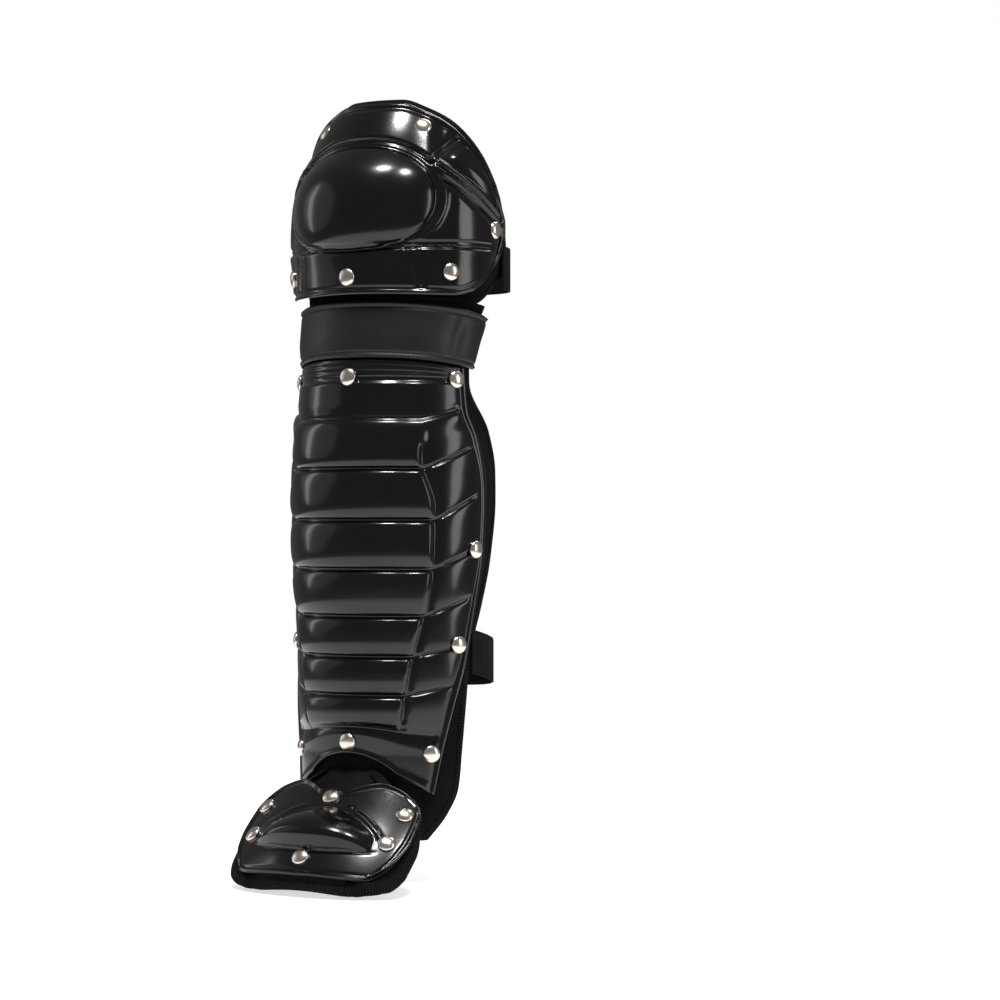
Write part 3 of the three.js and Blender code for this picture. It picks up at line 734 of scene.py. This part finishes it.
def cloth_material(name, dark, light, weave, strength, distance, sheen, rows=()):
    """Woven or knitted cloth over the crossed yarns group and the piece's own UV map."""
    material, tree, shader = new_material(name)
    where = tree.nodes.new("ShaderNodeTexCoord")
    node = place_group(tree, weave_group(), weave)
    tree.links.new(where.outputs["UV"], node.inputs["Vector"])
    blotch = place_group(tree, grain_group(), {"Blotch Scale": 30.0})
    tree.links.new(where.outputs["Object"], blotch.inputs["Vector"])
    # Base colour: painted shade in the gaps between yarns, times a slow random blotch; stitches stay
    # light
    gap_shade_and_blotch = math_node(tree, "MULTIPLY", node.outputs["Tone"], blotch.outputs["Blotch"])
    gap_shade_tone = ranged(tree, gap_shade_and_blotch, 0.1, 0.6, 0, 1)
    height = node.outputs["Height"]
    if rows:
        mask = stitched(tree, where.outputs["UV"], rows)
        gap_shade_tone = math_node(tree, "MAXIMUM", gap_shade_tone, mask)
        height = math_node(tree, "MULTIPLY_ADD", mask, 1.5, height)
    tree.links.new(toned(tree, gap_shade_tone, dark, light), shader.inputs["Base Color"])
    bumped(tree, shader, height, strength, distance)
    shader.inputs["Roughness"].default_value = 0.88
    shader.inputs["Sheen Weight"].default_value = sheen
    shader.inputs["Sheen Roughness"].default_value = 0.5
    shader.inputs["IOR"].default_value = 1.12
    return material


def shades(colour, dark, light):
    """Two tones of one colour."""
    return tuple(c * dark for c in colour), tuple(c * light for c in colour)


# Moulded, coated and plated finishes: colour, its two shades, roughness, grain (pebble scale,
# blotch scale, pebble share), bump strength and distance, stitch rows and other shader values
SURFACES = {
    "gloss_shell": (
        "shell", (0.8, 1.3), (0.16, 0.23), (140.0, 16.0, 0.1), (0.04, 0.0006), (),
        {"Coat Weight": 0.35, "Coat Roughness": 0.09},
    ),
    "band_vinyl": (
        "shell", (5.5, 9.5), (0.4, 0.52), (1100.0, 22.0, 0.8), (0.35, 0.0003), (0.0044, 0.0365), {},
    ),
    "clip_plastic": ("cloth", (1.0, 1.9), (0.35, 0.5), (1500.0, 40.0, 0.4), (0.2, 0.0002), (), {}),
    "bright_nickel": (
        "nickel", (0.92, 1.0), (0.18, 0.3), (500.0, 160.0, 0.2), (0.04, 0.0003), (),
        {"Metallic": 1.0},
    ),
}
SURFACE_GRAIN = ("Pebble Scale", "Blotch Scale", "Pebble Share")

# Cloths: their two shades, mixed by painted shade in the gaps between yarns and a random blotch,
# weave (along, across, cross share, fuzz), bump strength and distance, sheen and stitch rows
CLOTHS = {
    "liner_weave": ((1.0, 7.5), (3600.0, 3600.0, 1.0, 1.1), (0.8, 0.0005), 0.01, ()),
    "pad_knit": ((1.0, 12.0), (2700.0, 2300.0, 0.9, 1.6), (1.0, 0.0007), 0.02, ()),
    "grosgrain": ((0.6, 10.0), (3100.0, 4200.0, 0.15, 0.25), (1.0, 0.0008), 0.01, (0.0014,)),
    "elastic_weave": (
        (1.2, 12.0), (2500.0, 2900.0, 0.6, 0.3), (1.0, 0.0008), 0.01, (0.0016, 0.0284),
    ),
}
CLOTH_WEAVE = ("Along", "Across", "Cross Share", "Fuzz")


def finish_named(name, context):
    """The material of one finish, built on first use."""
    if name in bpy.data.materials:
        return bpy.data.materials[name]
    colours = context.scene.guard_colours
    if name in CLOTHS:
        pair, weave, bump, sheen, rows = CLOTHS[name]
        tones = shades(tuple(colours.cloth), *pair)
        return cloth_material(name, *tones, dict(zip(CLOTH_WEAVE, weave)), *bump, sheen, rows)
    colour, pair, rough, grain, bump, rows, others = SURFACES[name]
    tones = shades(tuple(getattr(colours, colour)), *pair)
    grain = dict(zip(SURFACE_GRAIN, grain))
    material = surface_material(name, *tones, rough, grain, *bump, rows)
    shader = material.node_tree.nodes["Principled BSDF"]
    for label, value in others.items():
        shader.inputs[label].default_value = value
    return material


# Mesh helpers


def sheet_mesh(columns, rows, place):
    """A grid whose vertices are carried onto a surface, with a UV map in metres."""
    bm = bmesh.new()
    uv_layer = bm.loops.layers.uv.new("UVMap")
    bmesh.ops.create_grid(bm, x_segments=columns, y_segments=rows, size=1.0)
    where = {}
    for vert in bm.verts:
        where[vert] = (vert.co.x, (vert.co.y + 1) / 2)
        vert.co = place(*where[vert]) * MM
    rows_of = {}
    for vert, (u, v) in where.items():
        rows_of.setdefault(round(v * rows), []).append((u, vert))
    flat = {}
    rise = 0.0
    previous = None
    for row in sorted(rows_of):
        line = sorted(rows_of[row], key=lambda item: item[0])
        middle = min(range(len(line)), key=lambda i: abs(line[i][0]))
        here = line[middle][1]
        if previous:
            rise += (here.co - previous.co).length
        previous = here
        reach = [0.0]
        for (_, a), (_, b) in zip(line, line[1:]):
            reach.append(reach[-1] + (b.co - a.co).length)
        for (_, vert), length in zip(line, reach):
            flat[vert] = (length - reach[middle], rise)
    for face in bm.faces:
        for loop in face.loops:
            loop[uv_layer].uv = flat[loop.vert]
    rim = bm.edges.layers.float.new("bevel_weight_edge")
    for edge in bm.edges:
        edge[rim] = 1.0 if edge.is_boundary else 0.0
    return bm


def new_piece(context, name, bm, material, nodes=()):
    """Turns a bmesh into a piece that rides on the body and stands for its nodes."""
    mesh = bpy.data.meshes.new(name)
    bm.to_mesh(mesh)
    bm.free()
    for polygon in mesh.polygons:
        polygon.use_smooth = True
    piece = bpy.data.objects.new(name, mesh)
    context.scene.collection.objects.link(piece)
    mesh.materials.append(material)
    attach(piece, "root")
    if nodes:
        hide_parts(*nodes)
    return piece


def give_wall(piece, wall, round_edge, segments=3, creased=False):
    """Gives a sheet its thickness inwards and rounds its rim; inner creases stay where it has them."""
    solid = piece.modifiers.new("Wall", "SOLIDIFY")
    solid.thickness = wall
    solid.offset = -1
    solid.use_even_offset = False
    bevel = piece.modifiers.new("Rim", "BEVEL")
    bevel.width = round_edge
    bevel.segments = segments
    bevel.limit_method = "WEIGHT" if creased else "ANGLE"
    bevel.angle_limit = math.radians(RIM_ANGLE)


def edge_walk(columns, rows):
    """The outline of a sheet as (u, v) points, anticlockwise from its lower left corner."""
    walk = [(-1 + 2 * i / columns, 0.0) for i in range(columns)]
    walk += [(1.0, j / rows) for j in range(rows)]
    walk += [(1 - 2 * i / columns, 1.0) for i in range(columns)]
    walk += [(-1.0, 1 - j / rows) for j in range(rows)]
    return walk


def tape_frames(place, walk, closed):
    """Place, normal, inward direction and length run at each point of a walk."""
    points = []
    for u, v in walk:
        du = place(min(u + WALK_STEP, 1), v) - place(max(u - WALK_STEP, -1), v)
        dv = place(u, min(v + WALK_STEP, 1)) - place(u, max(v - WALK_STEP, 0))
        points.append((place(u, v), du.cross(dv).normalized()))
    count = len(points)
    frames = []
    run = 0.0
    for i, (here, normal) in enumerate(points):
        if closed:
            ahead, behind = points[(i + 1) % count][0], points[i - 1][0]
        else:
            ahead, behind = points[min(i + 1, count - 1)][0], points[max(i - 1, 0)][0]
        inward = normal.cross((ahead - behind).normalized()).normalized()
        if i:
            run += (here - points[i - 1][0]).length
        frames.append((here, normal, inward, run))
    return frames


def tape_profile(wall, width, proud):
    """Section of a tape as (inward, outward) points: outer face, round edge and inner face."""
    profile = [(width, proud * 0.2), (width, proud), (width * 0.5, proud * 1.1), (1.2, proud)]
    for i in range(5):
        turn = math.pi * i / 4
        half = wall / 2 + proud
        profile.append((-proud * 0.4 - 1.1 * math.sin(turn), -wall / 2 + half * math.cos(turn)))
    profile += [(1.2, -wall - proud), (width, -wall - proud), (width, -wall - proud * 0.2)]
    return profile


def binding_mesh(place, columns, rows, wall, width, proud, top_edge=True):
    """A tape folded over the outline of a sheet, with or without its top edge."""
    walk = edge_walk(columns, rows)
    if not top_edge:
        start = columns + rows
        walk = walk[start + columns:] + walk[:start + 1]
    frames = tape_frames(place, walk, top_edge)
    profile = tape_profile(wall, width, proud)
    bm = bmesh.new()
    uv_layer = bm.loops.layers.uv.new("UVMap")
    rings = []
    for here, normal, inward, _ in frames:
        rings.append([bm.verts.new((here + inward * a + normal * b) * MM) for a, b in profile])
    across = [0.0]
    for (a0, b0), (a1, b1) in zip(profile, profile[1:]):
        across.append(across[-1] + math.hypot(a1 - a0, b1 - b0))
    count = len(frames)
    pairs = list(zip(range(count - 1), range(1, count)))
    if top_edge:
        pairs.append((count - 1, 0))
    for i, j in pairs:
        length_i = frames[i][3]
        length_j = frames[j][3] if j else length_i + (frames[0][0] - frames[i][0]).length
        for k in range(len(profile) - 1):
            corners = [
                (rings[i][k], length_i, k), (rings[i][k + 1], length_i, k + 1),
                (rings[j][k + 1], length_j, k + 1), (rings[j][k], length_j, k),
            ]
            face = bm.faces.new([c[0] for c in corners])
            for loop, (_, length, at) in zip(face.loops, corners):
                loop[uv_layer].uv = (length * MM, across[at] * MM)
    bmesh.ops.recalc_face_normals(bm, faces=bm.faces)
    return bm


def seat_of(surface, a, b):
    """Where a rivet sits and which way it points."""
    here = surface(a, b)
    da = surface(a + 1, b) - surface(a - 1, b)
    db = surface(a, b + 1) - surface(a, b - 1)
    normal = da.cross(db).normalized()
    if normal.y > 0.3 or normal.z < -0.3:
        normal.negate()
    return here, normal


def rivet_seats(sizes):
    """Node name, seat and normal of every rivet, in the frame's order."""
    def on_shin(angle, z):
        return around(shin_radius(z), 0, angle, z)

    def on_knee(angle, z):
        low = 1 - smooth(0.15, 0.2, knee_share(z))
        rise = 1.2 * low * (1 - smooth(0.8, 0.9, abs(angle) / KNEE_WRAP))
        return around(knee_radius(z) + rise, knee_setback(z), angle, z)

    def on_toe(w, t):
        return toe_surface(w, t, FIT + SHELL_WALL)

    groups = {
        "knee": (on_knee, KNEE_WRAP, KNEE_FOOT, KNEE_LENGTH),
        "shin": (on_shin, SHIN_WRAP, SHIN_FOOT, SHIN_LENGTH),
        "toe": (on_toe, PLATE_HALF, PLATE_TOP, PLATE_LENGTH),
    }
    counts = {}
    seats = []
    for group, across, up, lift in RIVETS:
        surface, wide, foot, length = groups[group]
        for side in (1,) if across == 0 else (1, -1):
            counts[group] = counts.get(group, 0) + 1
            here, normal = seat_of(surface, across * wide * side, foot + up * length)
            here += normal * lift * sizes.rib_rise / MM
            seats.append((f"{group}_rivet_{counts[group]}", here, normal))
    return seats


def strap_path(start, out, setback, back):
    points = []
    flat = CLIP_LENGTH * 0.5 + 2
    for i in range(13):
        t = i / 12
        angle = math.radians(lerp(start, 180, t))
        bend = smooth(0.2, 0.75, t)
        x = out * math.sin(angle) * lerp(1, 0.88, bend)
        y = setback - out * math.cos(angle)
        points.append((max(x, 0), lerp(y, y * back / (setback + out), bend) if y > 0 else y))
    kept = [p for p in points if p[0] > flat + 3]
    right = kept + [(flat, back), (0, back)]
    return right + [(-x, y) for x, y in reversed(right[:-1])]


# Properties and operators


def length_of(name, description, default):
    return FloatProperty(name=name, description=description, default=default, unit="LENGTH")


def colour_of(name, description, default):
    return FloatVectorProperty(
        name=name, description=description, subtype="COLOR", size=3, default=default
    )


class GuardSizes(bpy.types.PropertyGroup):
    rib_rise: length_of("Rib rise", "Height of the shin ribs", 0.0046)
    groove_depth: length_of("Groove depth", "Depth of the moulded grooves", 0.0009)
    dome_rise: length_of("Knee dome", "Height of the knee cap's dome", 0.009)
    strut_rise: length_of("Strut rise", "Height of the knee cap's struts", 0.0022)
    toe_dome_rise: length_of("Toe dome", "Height of the crescent on the toe plate", 0.011)
    rivet_radius: length_of("Rivet radius", "Radius of a rivet's head", 0.006)
    rivet_rise: length_of("Rivet rise", "Height of a rivet's dome", 0.0026)
    tape_width: length_of("Tape width", "Width of the binding on each face", 0.008)
    turns: IntProperty(name="Rivet steps", description="Steps round a rivet's head", default=32, min=8)


class GuardColours(bpy.types.PropertyGroup):
    shell: colour_of("Shell", "Colour of the moulded shells", (0.0016, 0.0016, 0.0018))
    cloth: colour_of("Cloth", "Colour of liners, pad and straps", (0.0026, 0.0026, 0.0028))
    nickel: colour_of("Nickel", "Colour of the rivets", (0.97, 0.87, 0.77))
    floor: colour_of("Floor", "Colour of the studio floor", (0.9, 0.9, 0.9))


class GUARD_OT_shells(bpy.types.Operator):
    """Builds the knee cap, the ribbed shin shell and the toe plate"""

    bl_idname = "guard.shells"
    bl_label = "Build Moulded Shells"

    def execute(self, context):
        sizes = context.scene.guard_sizes
        gloss = finish_named("gloss_shell", context)
        parts = (
            ("knee_cap", "knee_shell", 200, 136, knee_point),
            ("shin_plate", "shin_shell", 112, 284, shin_point),
            ("toe_plate", "toe_shell", 160, 110, plate_point),
        )
        for name, node, columns, rows, point in parts:
            bm = sheet_mesh(columns, rows, lambda u, v: point(u, v, sizes))
            piece = new_piece(context, name, bm, gloss, (node,))
            give_wall(piece, SHELL_WALL * MM, 0.0007, creased=True)
        return {"FINISHED"}


class GUARD_OT_band(bpy.types.Operator):
    """Builds the padded band between the knee cap and the shin shell"""

    bl_idname = "guard.band"
    bl_label = "Build Middle Band"

    def execute(self, context):
        bm = sheet_mesh(140, 60, band_point)
        vinyl = finish_named("band_vinyl", context)
        piece = new_piece(context, "band_pad", bm, vinyl, ("middle_band",))
        give_wall(piece, BAND_WALL * MM, 0.0011)
        return {"FINISHED"}


class GUARD_OT_liners(bpy.types.Operator):
    """Builds the two liners behind the shells and the tape round their edges"""

    bl_idname = "guard.liners"
    bl_label = "Build Liners"

    def execute(self, context):
        sizes = context.scene.guard_sizes
        cloth = finish_named("liner_weave", context)
        tape = finish_named("grosgrain", context)
        for name, node, rows, point in (
            ("knee_lining", "knee_liner", 44, knee_liner_point),
            ("shin_lining", "shin_liner", 110, shin_liner_point),
        ):
            piece = new_piece(context, name, sheet_mesh(72, rows, point), cloth, (node,))
            give_wall(piece, LINER_WALL * MM, 0.0022, 4)
            bm = binding_mesh(point, 60, rows, LINER_WALL, 0.6 * sizes.tape_width / MM, 0.25)
            new_piece(context, f"{name}_tape", bm, tape)
        return {"FINISHED"}


class GUARD_OT_toe_pad(bpy.types.Operator):
    """Builds the soft toe flap and the ribbed tape round its rim"""

    bl_idname = "guard.toe_pad"
    bl_label = "Build Toe Pad"

    def execute(self, context):
        sizes = context.scene.guard_sizes
        knit = finish_named("pad_knit", context)
        bm = sheet_mesh(80, 60, toe_pad_point)
        piece = new_piece(context, "toe_flap", bm, knit, ("toe_pad",))
        give_wall(piece, TOE_WALL * MM, 0.0022, 4)
        bm = binding_mesh(toe_pad_point, 70, 56, TOE_WALL, sizes.tape_width / MM, 0.28, top_edge=False)
        new_piece(context, "toe_flap_tape", bm, finish_named("grosgrain", context))
        return {"FINISHED"}


class GUARD_OT_straps(bpy.types.Operator):
    """Builds the two elastic straps and finishes their clips"""

    bl_idname = "guard.straps"
    bl_label = "Build Straps"

    def execute(self, context):
        calf_z = SHIN_FOOT + CALF_SEAT * SHIN_LENGTH
        calf_top = (calf_z + STRAP_WIDTH / 2 - SHIN_FOOT) / SHIN_LENGTH
        calf_edge = SHIN_WRAP * along(SHIN_EDGE, calf_top)
        knee_z = KNEE_FOOT + KNEE_SEAT * KNEE_LENGTH
        weave = finish_named("elastic_weave", context)
        rows = (
            ("calf", calf_z, calf_edge, STRAP_FALL, 0, CALF_BACK, body_radius),
            ("knee", knee_z, KNEE_WRAP, 0, KNEE_SET, KNEE_BACK, knee_radius),
        )
        for name, z, edge, fall, setback, end, radius_at in rows:
            out = radius_at(z + STRAP_WIDTH / 2) - SHELL_WALL + STRAP_WALL
            path = strap_path(edge + STRAP_TUCK, out, setback, end)
            front = path[0][1]
            last = len(path) - 1

            def point(u, v):
                at = (u + 1) / 2 * last
                i = min(int(at), last - 1)
                t = at - i
                x = lerp(path[i][0], path[i + 1][0], t)
                y = lerp(path[i][1], path[i + 1][1], t)
                back = (y - front) / (end - front)
                return Vector((x, y, z - fall * back + (v - 0.5) * STRAP_WIDTH))

            bm = sheet_mesh(last * 4, 10, point)
            web = new_piece(context, f"{name}_web", bm, weave, (f"{name}_strap",))
            give_wall(web, STRAP_WALL * MM, 0.0004, 2)
            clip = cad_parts[f"{name}_clip"]
            clip.data.materials.clear()
            clip.data.materials.append(finish_named("clip_plastic", context))
        return {"FINISHED"}


class GUARD_OT_rivets(bpy.types.Operator):
    """Builds the domed rivets in their seats"""

    bl_idname = "guard.rivets"
    bl_label = "Build Rivets"

    def execute(self, context):
        sizes = context.scene.guard_sizes
        radius = sizes.rivet_radius / MM
        rise = sizes.rivet_rise / MM
        # Half section, as (radius, height) points from the shank's foot to the top of the dome
        profile = (
            (0.0, -RIVET_SINK), (2.1, -RIVET_SINK), (2.2, -1.4), (radius * 0.9, -1.4),
            (radius * 0.985, -0.6), (radius, 0.25), (radius * 0.965, 0.75),
            (radius * 0.86, rise * 0.52), (radius * 0.66, rise * 0.77),
            (radius * 0.4, rise * 0.93), (radius * 0.18, rise * 0.985), (0.0, rise),
        )
        nickel = finish_named("bright_nickel", context)
        for node, here, normal in rivet_seats(sizes):
            bm = bmesh.new()
            verts = [bm.verts.new((x, 0, z)) for x, z in profile]
            for a, b in zip(verts, verts[1:]):
                bm.edges.new((a, b))
            bmesh.ops.spin(
                bm, geom=bm.verts[:] + bm.edges[:], cent=(0, 0, 0), axis=(0, 0, 1),
                angle=2 * math.pi, steps=sizes.turns, use_merge=True,
            )
            bmesh.ops.remove_doubles(bm, verts=bm.verts, dist=0.002)
            bmesh.ops.recalc_face_normals(bm, faces=bm.faces)
            turn = Vector((0, 0, 1)).rotation_difference(normal).to_matrix().to_4x4()
            seat = Matrix.Translation((here + normal * RIVET_PROUD) * MM) @ turn @ Matrix.Scale(MM, 4)
            bmesh.ops.transform(bm, matrix=seat, verts=bm.verts)
            new_piece(context, f"{node}_head", bm, nickel, (node,))
        return {"FINISHED"}


# Studio: place, aimed-at point, size and watts of each light, and the photo's view
STUDIO_LIGHTS = (
    ("overhead_box", (0.05, -0.6, 2.3), (0, 0, 0.4), 0.34, 0.34, 22),
    ("overhead_right", (0.75, -0.45, 2.1), (0, 0, 0.4), 0.3, 0.3, 13),
    ("left_wash", (-2.0, -0.9, 0.9), (0, 0, 0.3), 2.2, 2.0, 2.6),
    ("left_strip", (-1.9, -0.45, 0.8), (0, 0, 0.3), 0.3, 1.6, 2),
    ("right_wash", (2.2, 0.25, 0.7), (0, 0, 0.3), 0.6, 1.8, 7),
    ("over_back", (0.0, 1.6, 2.2), (0, 0, 0.1), 1.8, 1.2, 22),
)
FLOOR_RADIUS = 0.85
FLOOR_GAP = 0.0004
FLOOR_GLOW = 0.3
FLOOR_GLOW_SEEN = 0.35
WORLD_DIM = 0.15
VIEW_TURN = 30
VIEW_DISTANCE = 1.8
VIEW_HEIGHT = 0.260
VIEW_PIXEL = 0.0007
VIEW_WIDE = 1000
VIEW_SHIFT = (101.5, 5)
SENSOR = 36.0


def area_light(context, name, place, target, width, height, power):
    light = bpy.data.lights.new(name, "AREA")
    light.shape = "ELLIPSE"
    light.size = width
    light.size_y = height
    light.energy = power
    lamp = bpy.data.objects.new(name, light)
    context.scene.collection.objects.link(lamp)
    direction = Vector(target) - Vector(place)
    turn = direction.to_track_quat("-Z", "Y").to_matrix().to_4x4()
    lamp.matrix_world = Matrix.Translation(Vector(place)) @ turn


class GUARD_OT_stage(bpy.types.Operator):
    """Sets the pale floor, the soft lights and the camera"""

    bl_idname = "guard.stage"
    bl_label = "Set Studio"

    def execute(self, context):
        scene = context.scene
        bm = bmesh.new()
        bmesh.ops.create_circle(bm, cap_ends=True, segments=96, radius=FLOOR_RADIUS)
        bmesh.ops.translate(bm, verts=bm.verts, vec=(0, 0, CAD_BOX[0][2] - FLOOR_GAP))
        mesh = bpy.data.meshes.new("studio_floor")
        bm.to_mesh(mesh)
        bm.free()
        floor = bpy.data.objects.new("studio_floor", mesh)
        scene.collection.objects.link(floor)
        material, tree, shader = new_material("pale_floor")
        shader.inputs["Base Color"].default_value = (*scene.guard_colours.floor, 1)
        shader.inputs["Roughness"].default_value = 0.9
        shader.inputs["Emission Color"].default_value = (1, 1, 1, 1)
        path = tree.nodes.new("ShaderNodeLightPath")
        seen = path.outputs["Is Camera Ray"]
        glow = math_node(tree, "MULTIPLY_ADD", seen, FLOOR_GLOW_SEEN, FLOOR_GLOW)
        tree.links.new(glow, shader.inputs["Emission Strength"])
        mesh.materials.append(material)

        world = bpy.data.worlds.new("studio")
        world.use_nodes = True
        tree = world.node_tree
        dim = tree.nodes["Background"]
        bright = tree.nodes.new("ShaderNodeBackground")
        for node, strength in ((dim, WORLD_DIM), (bright, 1.0)):
            node.inputs["Color"].default_value = (1, 1, 1, 1)
            node.inputs["Strength"].default_value = strength
        path = tree.nodes.new("ShaderNodeLightPath")
        mix = tree.nodes.new("ShaderNodeMixShader")
        tree.links.new(path.outputs["Is Camera Ray"], mix.inputs[0])
        tree.links.new(dim.outputs[0], mix.inputs[1])
        tree.links.new(bright.outputs[0], mix.inputs[2])
        tree.links.new(mix.outputs[0], tree.nodes["World Output"].inputs[0])
        scene.world = world

        for row in STUDIO_LIGHTS:
            area_light(context, *row)

        data = bpy.data.cameras.new("photo_view")
        data.lens = SENSOR * VIEW_DISTANCE / (VIEW_PIXEL * VIEW_WIDE)
        data.sensor_width = SENSOR
        data.clip_end = 50
        camera = bpy.data.objects.new("photo_view", data)
        scene.collection.objects.link(camera)
        sight = math.radians(VIEW_TURN)
        eye = Vector(
            (math.sin(sight) * VIEW_DISTANCE, -math.cos(sight) * VIEW_DISTANCE, VIEW_HEIGHT)
        )
        right = Vector((math.cos(sight), math.sin(sight), 0))
        aside, above = (shift * VIEW_PIXEL for shift in VIEW_SHIFT)
        target = Vector((0, 0, VIEW_HEIGHT)) + right * aside + Vector((0, 0, above))
        turn = (target - eye).to_track_quat("-Z", "Y").to_matrix().to_4x4()
        camera.matrix_world = Matrix.Translation(eye) @ turn
        scene.camera = camera
        scene.view_settings.view_transform = "Standard"
        return {"FINISHED"}


class GUARD_PT_panel(bpy.types.Panel):
    """Lists the pieces and the sizes of the guard"""

    bl_label = "Leg Guard"
    bl_idname = "GUARD_PT_panel"
    bl_space_type = "VIEW_3D"
    bl_region_type = "UI"
    bl_category = "Leg Guard"

    def draw(self, context):
        layout = self.layout
        for name in GuardSizes.__annotations__:
            layout.prop(context.scene.guard_sizes, name)
        for name in GuardColours.__annotations__:
            layout.prop(context.scene.guard_colours, name)
        for operator in OPERATORS:
            layout.operator(operator.bl_idname)


OPERATORS = (
    GUARD_OT_shells,
    GUARD_OT_band,
    GUARD_OT_liners,
    GUARD_OT_toe_pad,
    GUARD_OT_straps,
    GUARD_OT_rivets,
    GUARD_OT_stage,
)
CLASSES = (GuardSizes, GuardColours, *OPERATORS, GUARD_PT_panel)


def register():
    for cls in CLASSES:
        bpy.utils.register_class(cls)
    bpy.types.Scene.guard_sizes = PointerProperty(type=GuardSizes)
    bpy.types.Scene.guard_colours = PointerProperty(type=GuardColours)


def unregister():
    del bpy.types.Scene.guard_colours
    del bpy.types.Scene.guard_sizes
    for cls in reversed(CLASSES):
        bpy.utils.unregister_class(cls)


def main():
    register()
    bpy.ops.guard.shells()
    bpy.ops.guard.band()
    bpy.ops.guard.liners()
    bpy.ops.guard.toe_pad()
    bpy.ops.guard.straps()
    bpy.ops.guard.rivets()
    bpy.ops.guard.stage()
    bpy.context.view_layer.update()


if __name__ == "__main__":
    main()
